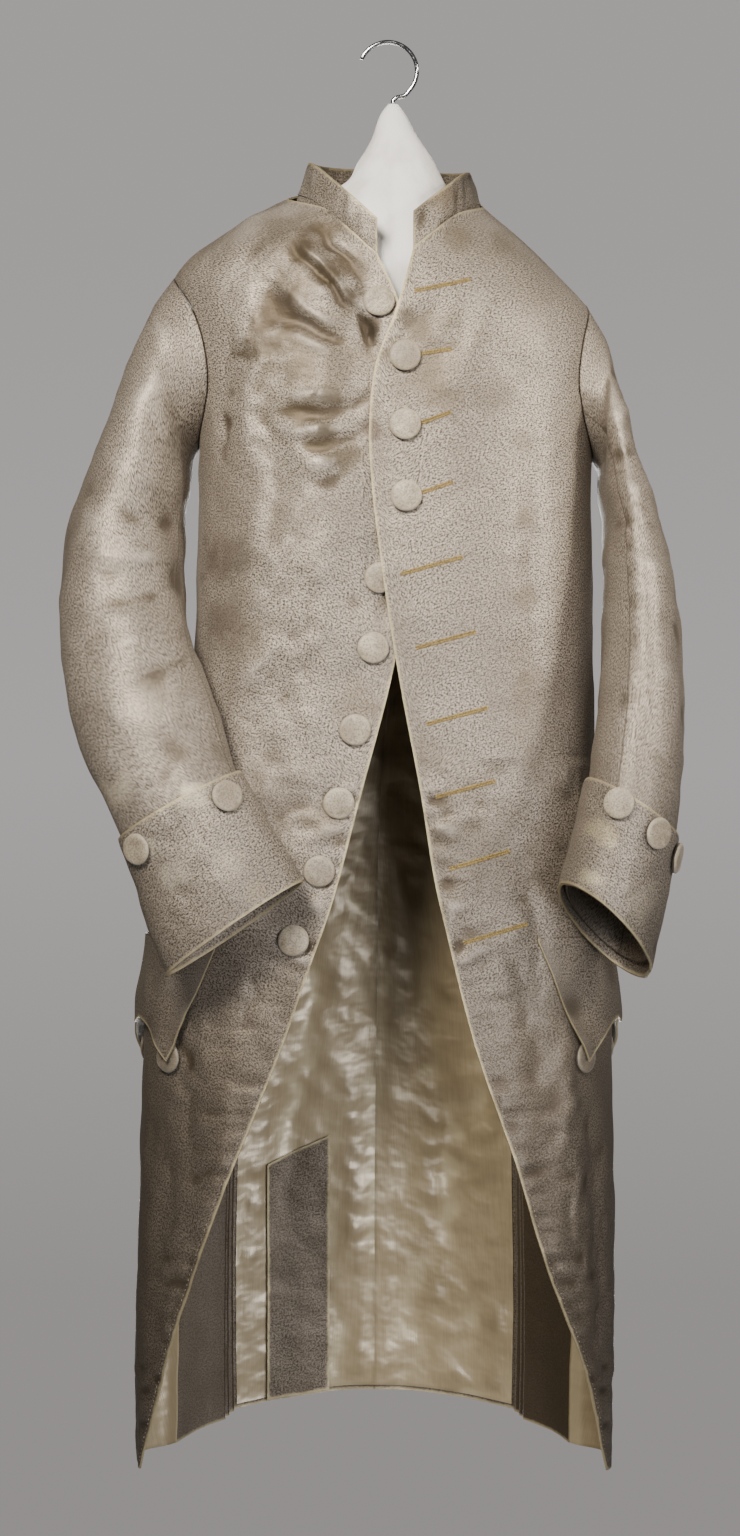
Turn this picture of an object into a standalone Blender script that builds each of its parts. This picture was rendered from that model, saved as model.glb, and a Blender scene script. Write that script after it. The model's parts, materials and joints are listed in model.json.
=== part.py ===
"""A silk frock coat with cut-away fronts, hung on a padded hanger.

Right and left are the wearer's: -X is the wearer's right, +X the left, -Y the front and +Z up. The
origin is where a rail bears under the top of the hook, so everything hangs below it.

A place on the coat's body is given by (girth, height). Girth runs round one level ring, from 0 at
the middle of the front to 1 at the middle of the back on the left side, and to -1 on the right.
"""

import math
from dataclasses import dataclass

import bmesh
import bpy
import numpy as np
from mathutils import Matrix, Vector

SILK = 0.0016  # wall of the silk with its interlining
SATIN = 0.0010  # lining
SEAM = 0.0003  # clear space between pieces that are sewn together
LINING_SPACE = 0.0006
RIGHT, LEFT = -1, 1
SIDE_NAMES = {RIGHT: "right", LEFT: "left"}


# ---------------------------------------------------------------- driving sizes


@dataclass(frozen=True)
class Section:
    """One level ring of the body. Power 2 is an ellipse, and more is squarer."""

    height: float
    middle: float
    right: float
    left: float
    front: float
    back: float
    power: float


BODY = (
    Section(-1.215, -0.0118, 0.1995, 0.1995, 0.125, 0.140, 2.8),
    Section(-1.100, -0.0113, 0.2020, 0.2020, 0.127, 0.135, 2.8),
    Section(-0.985, -0.0113, 0.2013, 0.2013, 0.127, 0.128, 2.8),
    Section(-0.880, -0.0103, 0.1990, 0.1990, 0.126, 0.120, 2.8),
    Section(-0.770, -0.0083, 0.1960, 0.1960, 0.124, 0.110, 2.8),
    Section(-0.700, -0.0083, 0.1880, 0.1880, 0.122, 0.102, 2.8),
    Section(-0.630, -0.0053, 0.1790, 0.1790, 0.120, 0.094, 2.8),
    Section(-0.560, 0.0003, 0.1725, 0.1725, 0.120, 0.088, 2.8),
    Section(-0.500, 0.0043, 0.1685, 0.1685, 0.122, 0.088, 2.8),
    Section(-0.440, 0.0058, 0.1670, 0.1670, 0.122, 0.094, 2.8),
    Section(-0.380, 0.0068, 0.1650, 0.1650, 0.118, 0.098, 2.8),
    Section(-0.340, 0.0065, 0.1670, 0.1670, 0.116, 0.102, 2.7),
    Section(-0.300, 0.0062, 0.1720, 0.1700, 0.114, 0.104, 2.6),
    Section(-0.260, 0.0058, 0.1810, 0.1720, 0.111, 0.104, 2.5),
    Section(-0.230, 0.0056, 0.1860, 0.1660, 0.107, 0.102, 2.4),
    Section(-0.200, 0.0055, 0.1866, 0.1400, 0.101, 0.097, 2.3),
    Section(-0.165, 0.0050, 0.1484, 0.1045, 0.090, 0.089, 2.2),
    Section(-0.145, 0.0045, 0.1160, 0.0820, 0.080, 0.078, 2.1),
    Section(-0.135, 0.0042, 0.0940, 0.0722, 0.074, 0.071, 2.1),
    Section(-0.125, 0.0040, 0.0710, 0.0640, 0.068, 0.064, 2.0),
)


@dataclass(frozen=True)
class EdgePoint:
    """A point of a front edge: how far it lies from the middle line, towards the wearer's left."""

    height: float
    offset: float


FRONT_EDGES = {
    RIGHT: (
        EdgePoint(-1.204, -0.1970),
        EdgePoint(-1.138, -0.1800),
        EdgePoint(-1.040, -0.1500),
        EdgePoint(-0.969, -0.1250),
        EdgePoint(-0.903, -0.1000),
        EdgePoint(-0.840, -0.0763),
        EdgePoint(-0.783, -0.0575),
        EdgePoint(-0.724, -0.0370),
        EdgePoint(-0.642, -0.0178),
        EdgePoint(-0.580, -0.0058),
        EdgePoint(-0.527, 0.0027),
        EdgePoint(-0.445, 0.0061),
        EdgePoint(-0.314, 0.0065),
        EdgePoint(-0.229, 0.0025),
        EdgePoint(-0.190, -0.0149),
    ),
    LEFT: (
        EdgePoint(-1.204, 0.1951),
        EdgePoint(-1.118, 0.1742),
        EdgePoint(-1.030, 0.1425),
        EdgePoint(-0.941, 0.1154),
        EdgePoint(-0.840, 0.0795),
        EdgePoint(-0.724, 0.0495),
        EdgePoint(-0.633, 0.0311),
        EdgePoint(-0.556, 0.0104),
        EdgePoint(-0.498, -0.0032),
        EdgePoint(-0.441, -0.0128),
        EdgePoint(-0.387, -0.0203),
        EdgePoint(-0.332, -0.0224),
        EdgePoint(-0.285, -0.0171),
        EdgePoint(-0.236, 0.0008),
        EdgePoint(-0.184, 0.0155),
    ),
}


@dataclass(frozen=True)
class Neck:
    """The neckline of one side: where it leaves the front edge, and where the shoulder seam starts."""

    corner_height: float
    corner_offset: float
    shoulder_height: float


NECKS = {RIGHT: Neck(-0.190, -0.0149, -0.129), LEFT: Neck(-0.184, 0.0155, -0.137)}
BACK_NECK_HEIGHT = -0.126


@dataclass(frozen=True)
class Armhole:
    """A round armhole about the side of the body, with its reach in height and in girth."""

    middle_height: float
    half_height: float
    half_girth: float


ARMHOLES = {RIGHT: Armhole(-0.272, 0.073, 0.150), LEFT: Armhole(-0.289, 0.067, 0.150)}
UNDERARM_START = math.radians(135)  # where the front's underarm part begins, from the top forwards
SIDE_BACK_MEETS = math.radians(245)  # where the side-back seam meets the armhole


@dataclass(frozen=True)
class SideBack:
    """The side-back seam: its girth, and the knife pleats that lie in it below the hip."""

    height: float
    girth: float
    step: float  # from one pleat's edge to the next
    depth: float  # how far each pleat folds under
    layer: float  # from one layer of cloth to the next


SIDE_BACK = (
    SideBack(-1.204, 0.640, 0.0080, 0.072, 0.0040),
    SideBack(-1.000, 0.668, 0.0062, 0.055, 0.0038),
    SideBack(-0.800, 0.705, 0.0042, 0.034, 0.0034),
    SideBack(-0.620, 0.738, 0.0022, 0.013, 0.0030),
    SideBack(-0.500, 0.730, 0.0022, 0.013, 0.0030),
    SideBack(-0.380, 0.700, 0.0022, 0.013, 0.0030),
)
PLEATS = 3
PLEAT_RISE = 0.028  # the last layer's way back up to the front skirt, at the hem
PLEAT_WALL = 0.0014

ARMPIT_HEIGHT = -0.380  # above it the panels follow the armholes and the neck
FRONT_HEM = -1.204  # the height of the front tips
HEM_RISE = 0.040  # the back hem is this much higher than the front tips
ROW_HEIGHTS = (
    *(-1.204, -1.140, -1.070, -1.000, -0.930, -0.860, -0.800, -0.740, -0.680),
    *(-0.620, -0.575, -0.530, -0.490, -0.450, -0.410, -0.380),
)
HIP_ROW = ROW_HEIGHTS.index(-0.620)
TUCK = (  # how deep the right front's edge lies under the left one, by height
    (-0.610, 0.0),
    (-0.545, 0.0034),
    (-0.500, 0.0036),
    (-0.478, 0.0082),
    (-0.438, 0.0082),
    (-0.395, 0.0036),
    (-0.225, 0.0032),
    (-0.190, 0.0),
)
TUCK_START, TUCK_END = -0.066, -0.030  # offsets from the middle line


@dataclass(frozen=True)
class Fold:
    """A soft crease in the fronts, seen from the front: a ridge where height is over 0, or a trough."""

    x0: float
    z0: float
    x1: float
    z1: float
    width: float
    height: float


FOLDS = (
    Fold(-0.022, -0.250, -0.098, -0.178, 0.020, 0.0045),
    Fold(-0.030, -0.268, -0.110, -0.205, 0.018, -0.0035),
    Fold(-0.045, -0.305, -0.090, -0.345, 0.020, 0.0030),
    Fold(0.095, -0.215, 0.045, -0.315, 0.024, 0.0030),
    Fold(0.118, -0.300, 0.118, -0.590, 0.016, -0.0028),
    Fold(-0.090, -0.520, -0.120, -0.700, 0.024, -0.0030),
    Fold(0.120, -0.820, 0.165, -1.150, 0.024, 0.0040),
    Fold(-0.125, -0.850, -0.170, -1.160, 0.024, 0.0040),
)


@dataclass(frozen=True)
class SleeveRing:
    """One ring of a sleeve: its outer and inner points, and its half depth from front to back."""

    outer_x: float
    outer_z: float
    inner_x: float
    inner_z: float
    y: float
    depth: float
    slant: float  # how much lower the back is, for each metre of depth


SLEEVES = {
    RIGHT: (
        SleeveRing(-0.200, -0.226, -0.164, -0.352, -0.002, 0.071, 0.00),
        SleeveRing(-0.221, -0.271, -0.166, -0.362, -0.008, 0.076, 0.02),
        SleeveRing(-0.239, -0.325, -0.168, -0.379, -0.016, 0.079, 0.04),
        SleeveRing(-0.257, -0.374, -0.171, -0.399, -0.026, 0.075, 0.06),
        SleeveRing(-0.271, -0.415, -0.172, -0.428, -0.040, 0.068, 0.08),
        SleeveRing(-0.276, -0.467, -0.170, -0.462, -0.056, 0.060, 0.10),
        SleeveRing(-0.273, -0.509, -0.165, -0.499, -0.074, 0.053, 0.12),
        SleeveRing(-0.267, -0.551, -0.157, -0.528, -0.094, 0.046, 0.14),
        SleeveRing(-0.255, -0.597, -0.142, -0.566, -0.114, 0.039, 0.16),
    ),
    LEFT: (
        SleeveRing(0.182, -0.248, 0.179, -0.366, -0.002, 0.068, 0.00),
        SleeveRing(0.190, -0.276, 0.179, -0.377, -0.008, 0.078, 0.02),
        SleeveRing(0.200, -0.310, 0.180, -0.388, -0.016, 0.084, 0.04),
        SleeveRing(0.212, -0.356, 0.181, -0.404, -0.026, 0.087, 0.06),
        SleeveRing(0.224, -0.399, 0.181, -0.426, -0.038, 0.086, 0.08),
        SleeveRing(0.234, -0.445, 0.180, -0.454, -0.052, 0.082, 0.10),
        SleeveRing(0.241, -0.492, 0.178, -0.488, -0.068, 0.077, 0.12),
        SleeveRing(0.243, -0.538, 0.176, -0.526, -0.086, 0.071, 0.14),
        SleeveRing(0.243, -0.580, 0.173, -0.563, -0.104, 0.065, 0.16),
        SleeveRing(0.240, -0.622, 0.168, -0.596, -0.122, 0.060, 0.14),
    ),
}
CUFFS = {  # the turned-up edge, and the cuff's end at the wrist
    RIGHT: (
        SleeveRing(-0.221, -0.674, -0.120, -0.618, -0.136, 0.0345, 0.18),
        SleeveRing(-0.182, -0.785, -0.070, -0.708, -0.152, 0.0320, 0.18),
    ),
    LEFT: (
        SleeveRing(0.237, -0.673, 0.160, -0.624, -0.137, 0.0600, 0.14),
        SleeveRing(0.214, -0.782, 0.137, -0.714, -0.146, 0.0570, 0.36),
    ),
}
CUFF_WALL = 0.0022
SLEEVE_IN_CUFF = ((0.03, 0.0038), (0.50, 0.0058), (0.93, 0.0068))  # share of the cuff, space inside it
SLEEVE_SEAMS = {RIGHT: (8, 15), LEFT: (6, 15)}  # which sides the front and hind seams follow
CUFF_ROWS = 3

SLEEVE_OUT, SLEEVE_IN = 0.0005, 0.0008  # the sleeve's start, out from the armhole's edge and into it

COLLAR_HEIGHT = 0.029
COLLAR_WALL = 0.0024
COLLAR_LEAN = 0.35  # how far the collar leans in towards the neck at its sides
COLLAR_LEAN_FROM, COLLAR_LEAN_FULL = -0.085, -0.020  # the places in Y between which the lean grows
NECK_MIDDLE = 0.004  # the X of the neck's middle

BUTTON_RADIUS = 0.0130
BUTTON_HEIGHT = 0.0050
BUTTON_SIDES = 12
BUTTON_SPACE = 0.0012  # clear of the cloth
FRONT_BUTTONS = (  # height, offset from the middle line, and the front that carries it
    (-0.2306, -0.0135, RIGHT),
    (-0.2765, 0.0076, LEFT),
    (-0.3331, 0.0071, LEFT),
    (-0.3923, 0.0077, LEFT),
    (-0.4589, -0.0124, RIGHT),
    (-0.5170, -0.0161, RIGHT),
    (-0.5842, -0.0259, RIGHT),
    (-0.6441, -0.0350, RIGHT),
    (-0.6998, -0.0489, RIGHT),
    (-0.7572, -0.0693, RIGHT),
)
CUFF_BUTTONS = {  # angle round the cuff from its outer edge forwards, and the share of its length
    RIGHT: ((128, 0.16), (40, 0.16)),
    LEFT: ((106, 0.12), (60, 0.15), (18, 0.18)),
}


@dataclass(frozen=True)
class FlapPoint:
    """A point of a flap's lower edge: how far along the flap it lies, and how deep."""

    along: float
    deep: float


FLAP_START = 0.1315  # the front top corner's offset from the middle line
FLAP_TOP = -0.755
FLAP_SHAPE = (
    FlapPoint(0.000, 0.004),
    FlapPoint(0.020, 0.058),
    FlapPoint(0.037, 0.098),
    FlapPoint(0.064, 0.074),
    FlapPoint(0.086, 0.066),
    FlapPoint(0.108, 0.071),
    FlapPoint(0.130, 0.066),
    FlapPoint(0.152, 0.074),
    FlapPoint(0.179, 0.098),
    FlapPoint(0.196, 0.058),
    FlapPoint(0.212, 0.004),
)
FLAP_DEPTH = 0.098  # of its tips
FLAP_SPACE = 0.0012  # clear of the skirt along its top
FLAP_STAND = 0.0088  # how far its lower edge stands off the skirt
FLAP_BUTTONS = (0.042, 0.174)  # places along the flap
FLAP_BUTTON_DROP = 0.100
FLAP_ROWS = 3
HIP_BUTTON_ABOVE, HIP_BUTTON_AHEAD = 0.012, 0.008  # of the pleats' top
FACING_OFFSETS = (-0.096, -0.040)  # the vent's facing, from the middle line
FACING_TOP = -0.985
FACING_HEM, FACING_SLANT = 0.003, 0.020  # its hem above the back's, and its top's rise across
FACING_SPACE = 0.0012  # clear of the lining, besides the usual space

PAD = (
    Section(-0.0515, 0.0042, 0.0045, 0.0045, 0.0045, 0.0045, 2.0),
    Section(-0.0560, 0.0042, 0.0080, 0.0080, 0.0070, 0.0070, 2.0),
    Section(-0.0780, 0.0042, 0.0180, 0.0190, 0.0150, 0.0150, 2.0),
    Section(-0.1000, 0.0042, 0.0310, 0.0350, 0.0260, 0.0260, 2.0),
    Section(-0.1200, 0.0042, 0.0410, 0.0450, 0.0360, 0.0330, 2.0),
    Section(-0.1400, 0.0045, 0.0740, 0.0560, 0.0520, 0.0460, 2.1),
    Section(-0.1650, 0.0050, 0.1250, 0.0840, 0.0680, 0.0600, 2.2),
    Section(-0.1900, 0.0055, 0.1600, 0.1170, 0.0820, 0.0720, 2.3),
    Section(-0.2150, 0.0056, 0.1660, 0.1380, 0.0840, 0.0720, 2.4),
    Section(-0.2400, 0.0056, 0.1580, 0.1420, 0.0800, 0.0680, 2.4),
    Section(-0.2580, 0.0056, 0.1350, 0.1220, 0.0640, 0.0540, 2.3),
    Section(-0.2660, 0.0056, 0.0900, 0.0820, 0.0400, 0.0320, 2.2),
)
PAD_SIDES = 20

HOOK_WIRE = 0.00175
HOOK_RADIUS = 0.0246  # of the wire's middle
HOOK_TIP, HOOK_TURN = math.radians(157), math.radians(-42)
HOOK_FOOT = ((0.0140, -0.0438), (0.0070, -0.0458), (0.0044, -0.0480), (0.0042, -0.0509))

COLOURS = {  # base colour, roughness, metallic
    "silk": ((0.30, 0.26, 0.21, 1), 0.55, 0.0),
    "satin": ((0.66, 0.60, 0.46, 1), 0.40, 0.0),
    "button_silk": ((0.45, 0.42, 0.36, 1), 0.55, 0.0),
    "muslin": ((0.80, 0.80, 0.78, 1), 0.85, 0.0),
    "steel": ((0.70, 0.70, 0.70, 1), 0.20, 1.0),
}


# ---------------------------------------------------------------- smooth curves and the body's surface


def smooth(place, places, values):
    """A smooth curve through a table's values, with no overshoot at its ends."""
    places, values = np.asarray(places, float), np.asarray(values, float)
    slopes = np.gradient(values, places)
    place = np.clip(place, places[0], places[-1])
    low = np.clip(np.searchsorted(places, place, side="right") - 1, 0, len(places) - 2)
    span = places[low + 1] - places[low]
    t = (place - places[low]) / span
    return (
        values[low] * (1 + 2 * t) * (1 - t) ** 2
        + slopes[low] * span * t * (1 - t) ** 2
        + values[low + 1] * t * t * (3 - 2 * t)
        + slopes[low + 1] * span * t * t * (t - 1)
    )


def step(value, start, end):
    """0 before start, 1 after end, and a smooth rise between."""
    t = np.clip((value - start) / (end - start), 0, 1)
    return t * t * (3 - 2 * t)


def column(rows, name):
    return [getattr(row, name) for row in rows]


class Rings:
    """A closed surface of level rings, read at any (girth, height)."""

    LEVELS, AROUND = 420, 180

    def __init__(self, sections):
        self.sections = sorted(sections, key=lambda row: row.height)
        heights = column(self.sections, "height")
        self.low, self.high = heights[0], heights[-1]
        self.heights = np.linspace(self.low, self.high, self.LEVELS)
        self.sizes = {
            name: smooth(self.heights, heights, column(self.sections, name))
            for name in ("middle", "right", "left", "front", "back", "power")
        }
        self.girths = np.linspace(-1, 1, 2 * self.AROUND + 1)
        self.places = np.empty((self.LEVELS, len(self.girths), 3))
        self.half_girths = np.empty((self.LEVELS, 2))
        for level in range(self.LEVELS):
            self.places[level] = self.ring(level)
        along = np.gradient(self.places, axis=1)
        up = np.gradient(self.places, axis=0)
        normals = np.cross(along, up)
        self.normals = normals / np.linalg.norm(normals, axis=2, keepdims=True)

    def ring(self, level):
        size = {name: values[level] for name, values in self.sizes.items()}
        halves = []
        for index, side in enumerate((RIGHT, LEFT)):
            angle = np.linspace(0, math.pi, 4 * self.AROUND)
            wide = size["left"] if side == LEFT else size["right"]
            deep = np.where(angle < math.pi / 2, size["front"], size["back"])
            across, along = np.abs(np.sin(angle)) / wide, np.abs(np.cos(angle)) / deep
            reach = (across ** size["power"] + along ** size["power"]) ** (-1 / size["power"])
            x, y = side * reach * np.sin(angle), -reach * np.cos(angle)
            length = np.concatenate([[0], np.cumsum(np.hypot(np.diff(x), np.diff(y)))])
            self.half_girths[level, index] = length[-1]
            even = np.linspace(0, length[-1], self.AROUND + 1)
            halves.append((np.interp(even, length, x), np.interp(even, length, y)))
        x = np.concatenate([halves[0][0][::-1], halves[1][0][1:]]) + size["middle"]
        y = np.concatenate([halves[0][1][::-1], halves[1][1][1:]])
        return np.stack([x, y, np.full(len(x), self.heights[level])], axis=1)

    def read(self, table, girth, height):
        girth, height = np.broadcast_arrays(np.asarray(girth, float), np.asarray(height, float))
        row = np.clip((height - self.low) / (self.high - self.low), 0, 1) * (self.LEVELS - 1)
        col = np.clip((girth + 1) / 2, 0, 1) * (2 * self.AROUND)
        i = np.minimum(row.astype(int), self.LEVELS - 2)
        j = np.minimum(col.astype(int), 2 * self.AROUND - 1)
        u, v = (row - i)[..., None], (col - j)[..., None]
        below = table[i, j] * (1 - v) + table[i, j + 1] * v
        above = table[i + 1, j] * (1 - v) + table[i + 1, j + 1] * v
        return below * (1 - u) + above * u

    def point(self, girth, height):
        return self.read(self.places, girth, height)

    def normal(self, girth, height):
        found = self.read(self.normals, girth, height)
        return found / np.linalg.norm(found, axis=-1, keepdims=True)

    def half_girth(self, side, height):
        """The length of half a ring, from the middle of the front to the middle of the back."""
        return np.interp(height, self.heights, self.half_girths[:, (side + 1) // 2])

    def girth_at(self, offset, height, back=False):
        """The girth of the point that lies this far from the middle line, in front or behind."""
        middle = np.interp(height, self.heights, self.sizes["middle"])
        around = np.linspace(-1, 1, 2 * self.AROUND + 1)
        x = self.point(around, np.full(len(around), float(height)))[:, 0] - middle
        first, last = int(np.argmin(x)), int(np.argmax(x))
        if not back:
            return float(np.interp(offset, x[first : last + 1], around[first : last + 1]))
        part = slice(last, None) if offset > 0 else slice(0, first + 1)
        order = np.argsort(x[part])
        return float(np.interp(offset, x[part][order], around[part][order]))

    def side_girth(self, side, height):
        """The girth of the outermost point of a side."""
        around = side * np.linspace(0, 1, self.AROUND + 1)
        x = self.point(around, np.full(len(around), float(height)))[:, 0] * side
        return side * float(np.linspace(0, 1, self.AROUND + 1)[np.argmax(x)])


body = Rings(BODY)


def edge_offset(side, height):
    rows = FRONT_EDGES[side]
    return float(smooth(height, column(rows, "height"), column(rows, "offset")))


def edge_girth(side, height):
    return body.girth_at(edge_offset(side, height), height)


def hem_height(girth):
    return FRONT_HEM + HEM_RISE * step(np.abs(girth), 0.48, 1.0)


def row_share(height):
    """The share of the way from the hem to the armpit that a row lies at."""
    return (height - FRONT_HEM) / (ARMPIT_HEIGHT - FRONT_HEM)


def row_height(girth, share):
    hem = hem_height(girth)
    return hem + (ARMPIT_HEIGHT - hem) * share


def side_back(name, height):
    return float(smooth(height, column(SIDE_BACK, "height"), column(SIDE_BACK, name)))


def stack_width(height):
    """How far the pleats' edges reach along the ring, forwards from the back panel's edge."""
    return PLEATS * side_back("step", height) + PLEAT_RISE * side_back("layer", height) / 0.004


def armhole_place(side, angle):
    """(girth, height) on the armhole's edge, by the angle from its top forwards."""
    hole = ARMHOLES[side]
    middle = abs(body.side_girth(side, hole.middle_height))
    height = hole.middle_height + hole.half_height * math.cos(angle)
    top = abs(body.side_girth(side, height))
    lean = (1 + math.cos(angle)) / 2
    girth = middle + (top - middle) * lean - hole.half_girth * math.sin(angle)
    return side * girth, height


def relief(point, side):
    """How far the fronts' soft creases move the cloth out at a point."""
    moved = np.zeros(point.shape[:-1])
    in_front = step(-point[..., 1], 0.0, 0.04)
    for fold in FOLDS:
        if (fold.x0 > 0.006) != (side == LEFT):
            continue
        start, way = np.array([fold.x0, fold.z0]), np.array([fold.x1 - fold.x0, fold.z1 - fold.z0])
        flat = point[..., [0, 2]] - start
        along = np.clip(flat @ way / (way @ way), 0, 1)
        away = np.linalg.norm(flat - along[..., None] * way, axis=-1)
        fade = np.sin(math.pi * np.clip(along * 0.86 + 0.07, 0, 1))
        moved += fold.height * fade * np.exp(-((away / fold.width) ** 2))
    return moved * in_front


def tuck(point, height):
    """How far the right front's edge lies inwards, under the left front."""
    middle = np.interp(height, body.heights, body.sizes["middle"])
    offset = point[..., 0] - middle
    depth = np.interp(height, [row[0] for row in TUCK], [row[1] for row in TUCK])
    near = step(offset, TUCK_START, TUCK_END) * (point[..., 1] < 0)
    return depth * near


def cloth_point(side, girth, height, out=0.0):
    """A point of a body panel's outer face, or one moved out from it."""
    point, normal = body.point(girth, height), body.normal(girth, height)
    moved = relief(point, side)
    if side == RIGHT:
        moved = moved - tuck(point, height)
    return point + normal * (moved + out)[..., None]


# ---------------------------------------------------------------- making objects


def clear_scene():
    for item in list(bpy.data.objects):
        bpy.data.objects.remove(item, do_unlink=True)


def make_collection():
    collection = bpy.data.collections.new("frock_coat")
    bpy.context.scene.collection.children.link(collection)
    return collection


def make_materials():
    made = {}
    for name, (colour, roughness, metallic) in COLOURS.items():
        material = bpy.data.materials.new(name)
        material.use_nodes = True
        shader = material.node_tree.nodes["Principled BSDF"]
        shader.inputs["Base Color"].default_value = colour
        shader.inputs["Roughness"].default_value = roughness
        shader.inputs["Metallic"].default_value = metallic
        made[name] = material
    return made


clear_scene()
coat = make_collection()
materials = make_materials()


def add_object(name, data, material):
    made = bpy.data.objects.new(name, data)
    coat.objects.link(made)
    if not data.materials:
        data.materials.append(materials[material])
    return made


def add_wall(name, outer, inner, material, valid=None, round_about=False):
    """A cloth wall between two grids of points, with a rim along every free edge.

    A loft and not a Solidify, so that both faces of neighbouring pieces meet square along a seam.
    """
    rows, cols = outer.shape[:2]
    valid = np.ones((rows, cols), bool) if valid is None else valid
    index = np.full((rows, cols), -1)
    index[valid] = np.arange(valid.sum())
    shift = int(valid.sum())
    faces, edges = [], set()
    for i in range(rows - 1):
        for j in range(cols if round_about else cols - 1):
            k = (j + 1) % cols
            corners = [int(index[place]) for place in ((i, j), (i, k), (i + 1, k), (i + 1, j))]
            if min(corners) < 0:
                continue
            a, b, c, d = corners
            for half in ((a, b, c), (a, c, d)):
                faces += [half, [corner + shift for corner in reversed(half)]]
            for start, end in zip(corners, corners[1:] + corners[:1]):
                edges ^= {(min(start, end), max(start, end))}
    faces += [[start, end, end + shift, start + shift] for start, end in sorted(edges)]
    mesh = bpy.data.meshes.new(name)
    mesh.from_pydata(np.concatenate([outer[valid], inner[valid]]).tolist(), [], faces)
    face_outwards(mesh)
    mesh.shade_smooth()
    mesh.set_sharp_from_angle(angle=math.radians(50))
    return add_object(name, mesh, material)


def face_outwards(mesh):
    work = bmesh.new()
    work.from_mesh(mesh)
    bmesh.ops.recalc_face_normals(work, faces=work.faces)
    work.to_mesh(mesh)
    work.free()


def grid_normals(points, round_about=False):
    """Unit normals of a grid of points, smooth over the whole grid."""
    up = np.gradient(points, axis=0)
    if round_about:
        along = np.roll(points, -1, axis=1) - np.roll(points, 1, axis=1)
    else:
        along = np.gradient(points, axis=1)
    normals = np.cross(along, up)
    return normals / np.linalg.norm(normals, axis=2, keepdims=True)


def pull_in(points, row=None, col=None, inner=None, gap=SEAM / 2):
    """Moves a grid's border in by half of a seam's clear space, towards the next row or column."""
    border = points[row] if row is not None else points[:, col]
    inside = points[inner] if row is not None else points[:, inner]
    way = inside - border
    length = np.linalg.norm(way, axis=-1, keepdims=True)
    border += np.where(length > 1e-9, way / np.maximum(length, 1e-9), 0) * gap


# ---------------------------------------------------------------- fronts, backs, pleats and linings

SHARES = [row_share(height) for height in ROW_HEIGHTS]
FRONT_SPACING = (0, 0.06, 0.14, 0.23, 0.34, 0.46, 0.60, 0.74, 0.87, 1)
UNDERARM_COLUMNS = 5
UNDERARM_ROWS = 2
ARMHOLE_ROWS = 7
NECK_ROWS = 3  # of the armhole rows, those that end on the neckline
UNDERARM_SHARE = 0.54
FACING_COLUMNS = 3  # columns by the front edge that are faced with the silk, so without a lining
PLEATS_CLEAR = 0.006  # from the pleats' inner folds to the back's lining
FRONT_LINING_HEM, BACK_LINING_HEM = 0.012, 0.004  # how far the linings' hems lie above the panels'


def front_edge_heights(side):
    """The heights of the front edge's points above the armpit, up to the neck's corner."""
    corner = NECKS[side].corner_height
    count = UNDERARM_ROWS + ARMHOLE_ROWS - NECK_ROWS
    return [ARMPIT_HEIGHT + (corner - ARMPIT_HEIGHT) * (n + 1) / count for n in range(count)]


def neckline_places(side):
    """(girth, height) of the neckline's points above the corner, up to the shoulder seam."""
    neck = NECKS[side]
    places = []
    for n in range(1, NECK_ROWS + 1):
        share = n / NECK_ROWS
        if n == NECK_ROWS:
            places.append((body.side_girth(side, neck.shoulder_height), neck.shoulder_height))
            continue
        height = neck.corner_height + (neck.shoulder_height - neck.corner_height) * share
        ring = body.point(np.linspace(-1, 1, 721), np.full(721, height))
        wide = np.abs(ring[:, 0] - np.interp(height, body.heights, body.sizes["middle"]))
        reach = wide[ring[:, 0] * side > 0].max()
        shoulder = np.interp(neck.shoulder_height, body.heights, body.sizes[SIDE_NAMES[side]])
        corner = abs(neck.corner_offset)
        offset = side * min(corner + (shoulder - corner) * share, reach)
        places.append((body.girth_at(offset, height), height))
    return places


def lower_rows(side, shares):
    """Girths and heights of the front's rows from the hem to the armpit."""
    rows = []
    for share in shares:
        height = FRONT_HEM + (ARMPIT_HEIGHT - FRONT_HEM) * share
        start = edge_girth(side, height)
        seam = side * side_back("girth", height)
        if height <= ROW_HEIGHTS[HIP_ROW] + 1e-6:
            seam -= side * stack_width(height) / body.half_girth(side, height)
        turn = start + (seam - start) * UNDERARM_SHARE
        girths = [start + (turn - start) * u for u in FRONT_SPACING]
        girths += [turn + (seam - turn) * (n + 1) / UNDERARM_COLUMNS for n in range(UNDERARM_COLUMNS)]
        rows.append([(girth, float(row_height(girth, share))) for girth in girths])
    return rows


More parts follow.
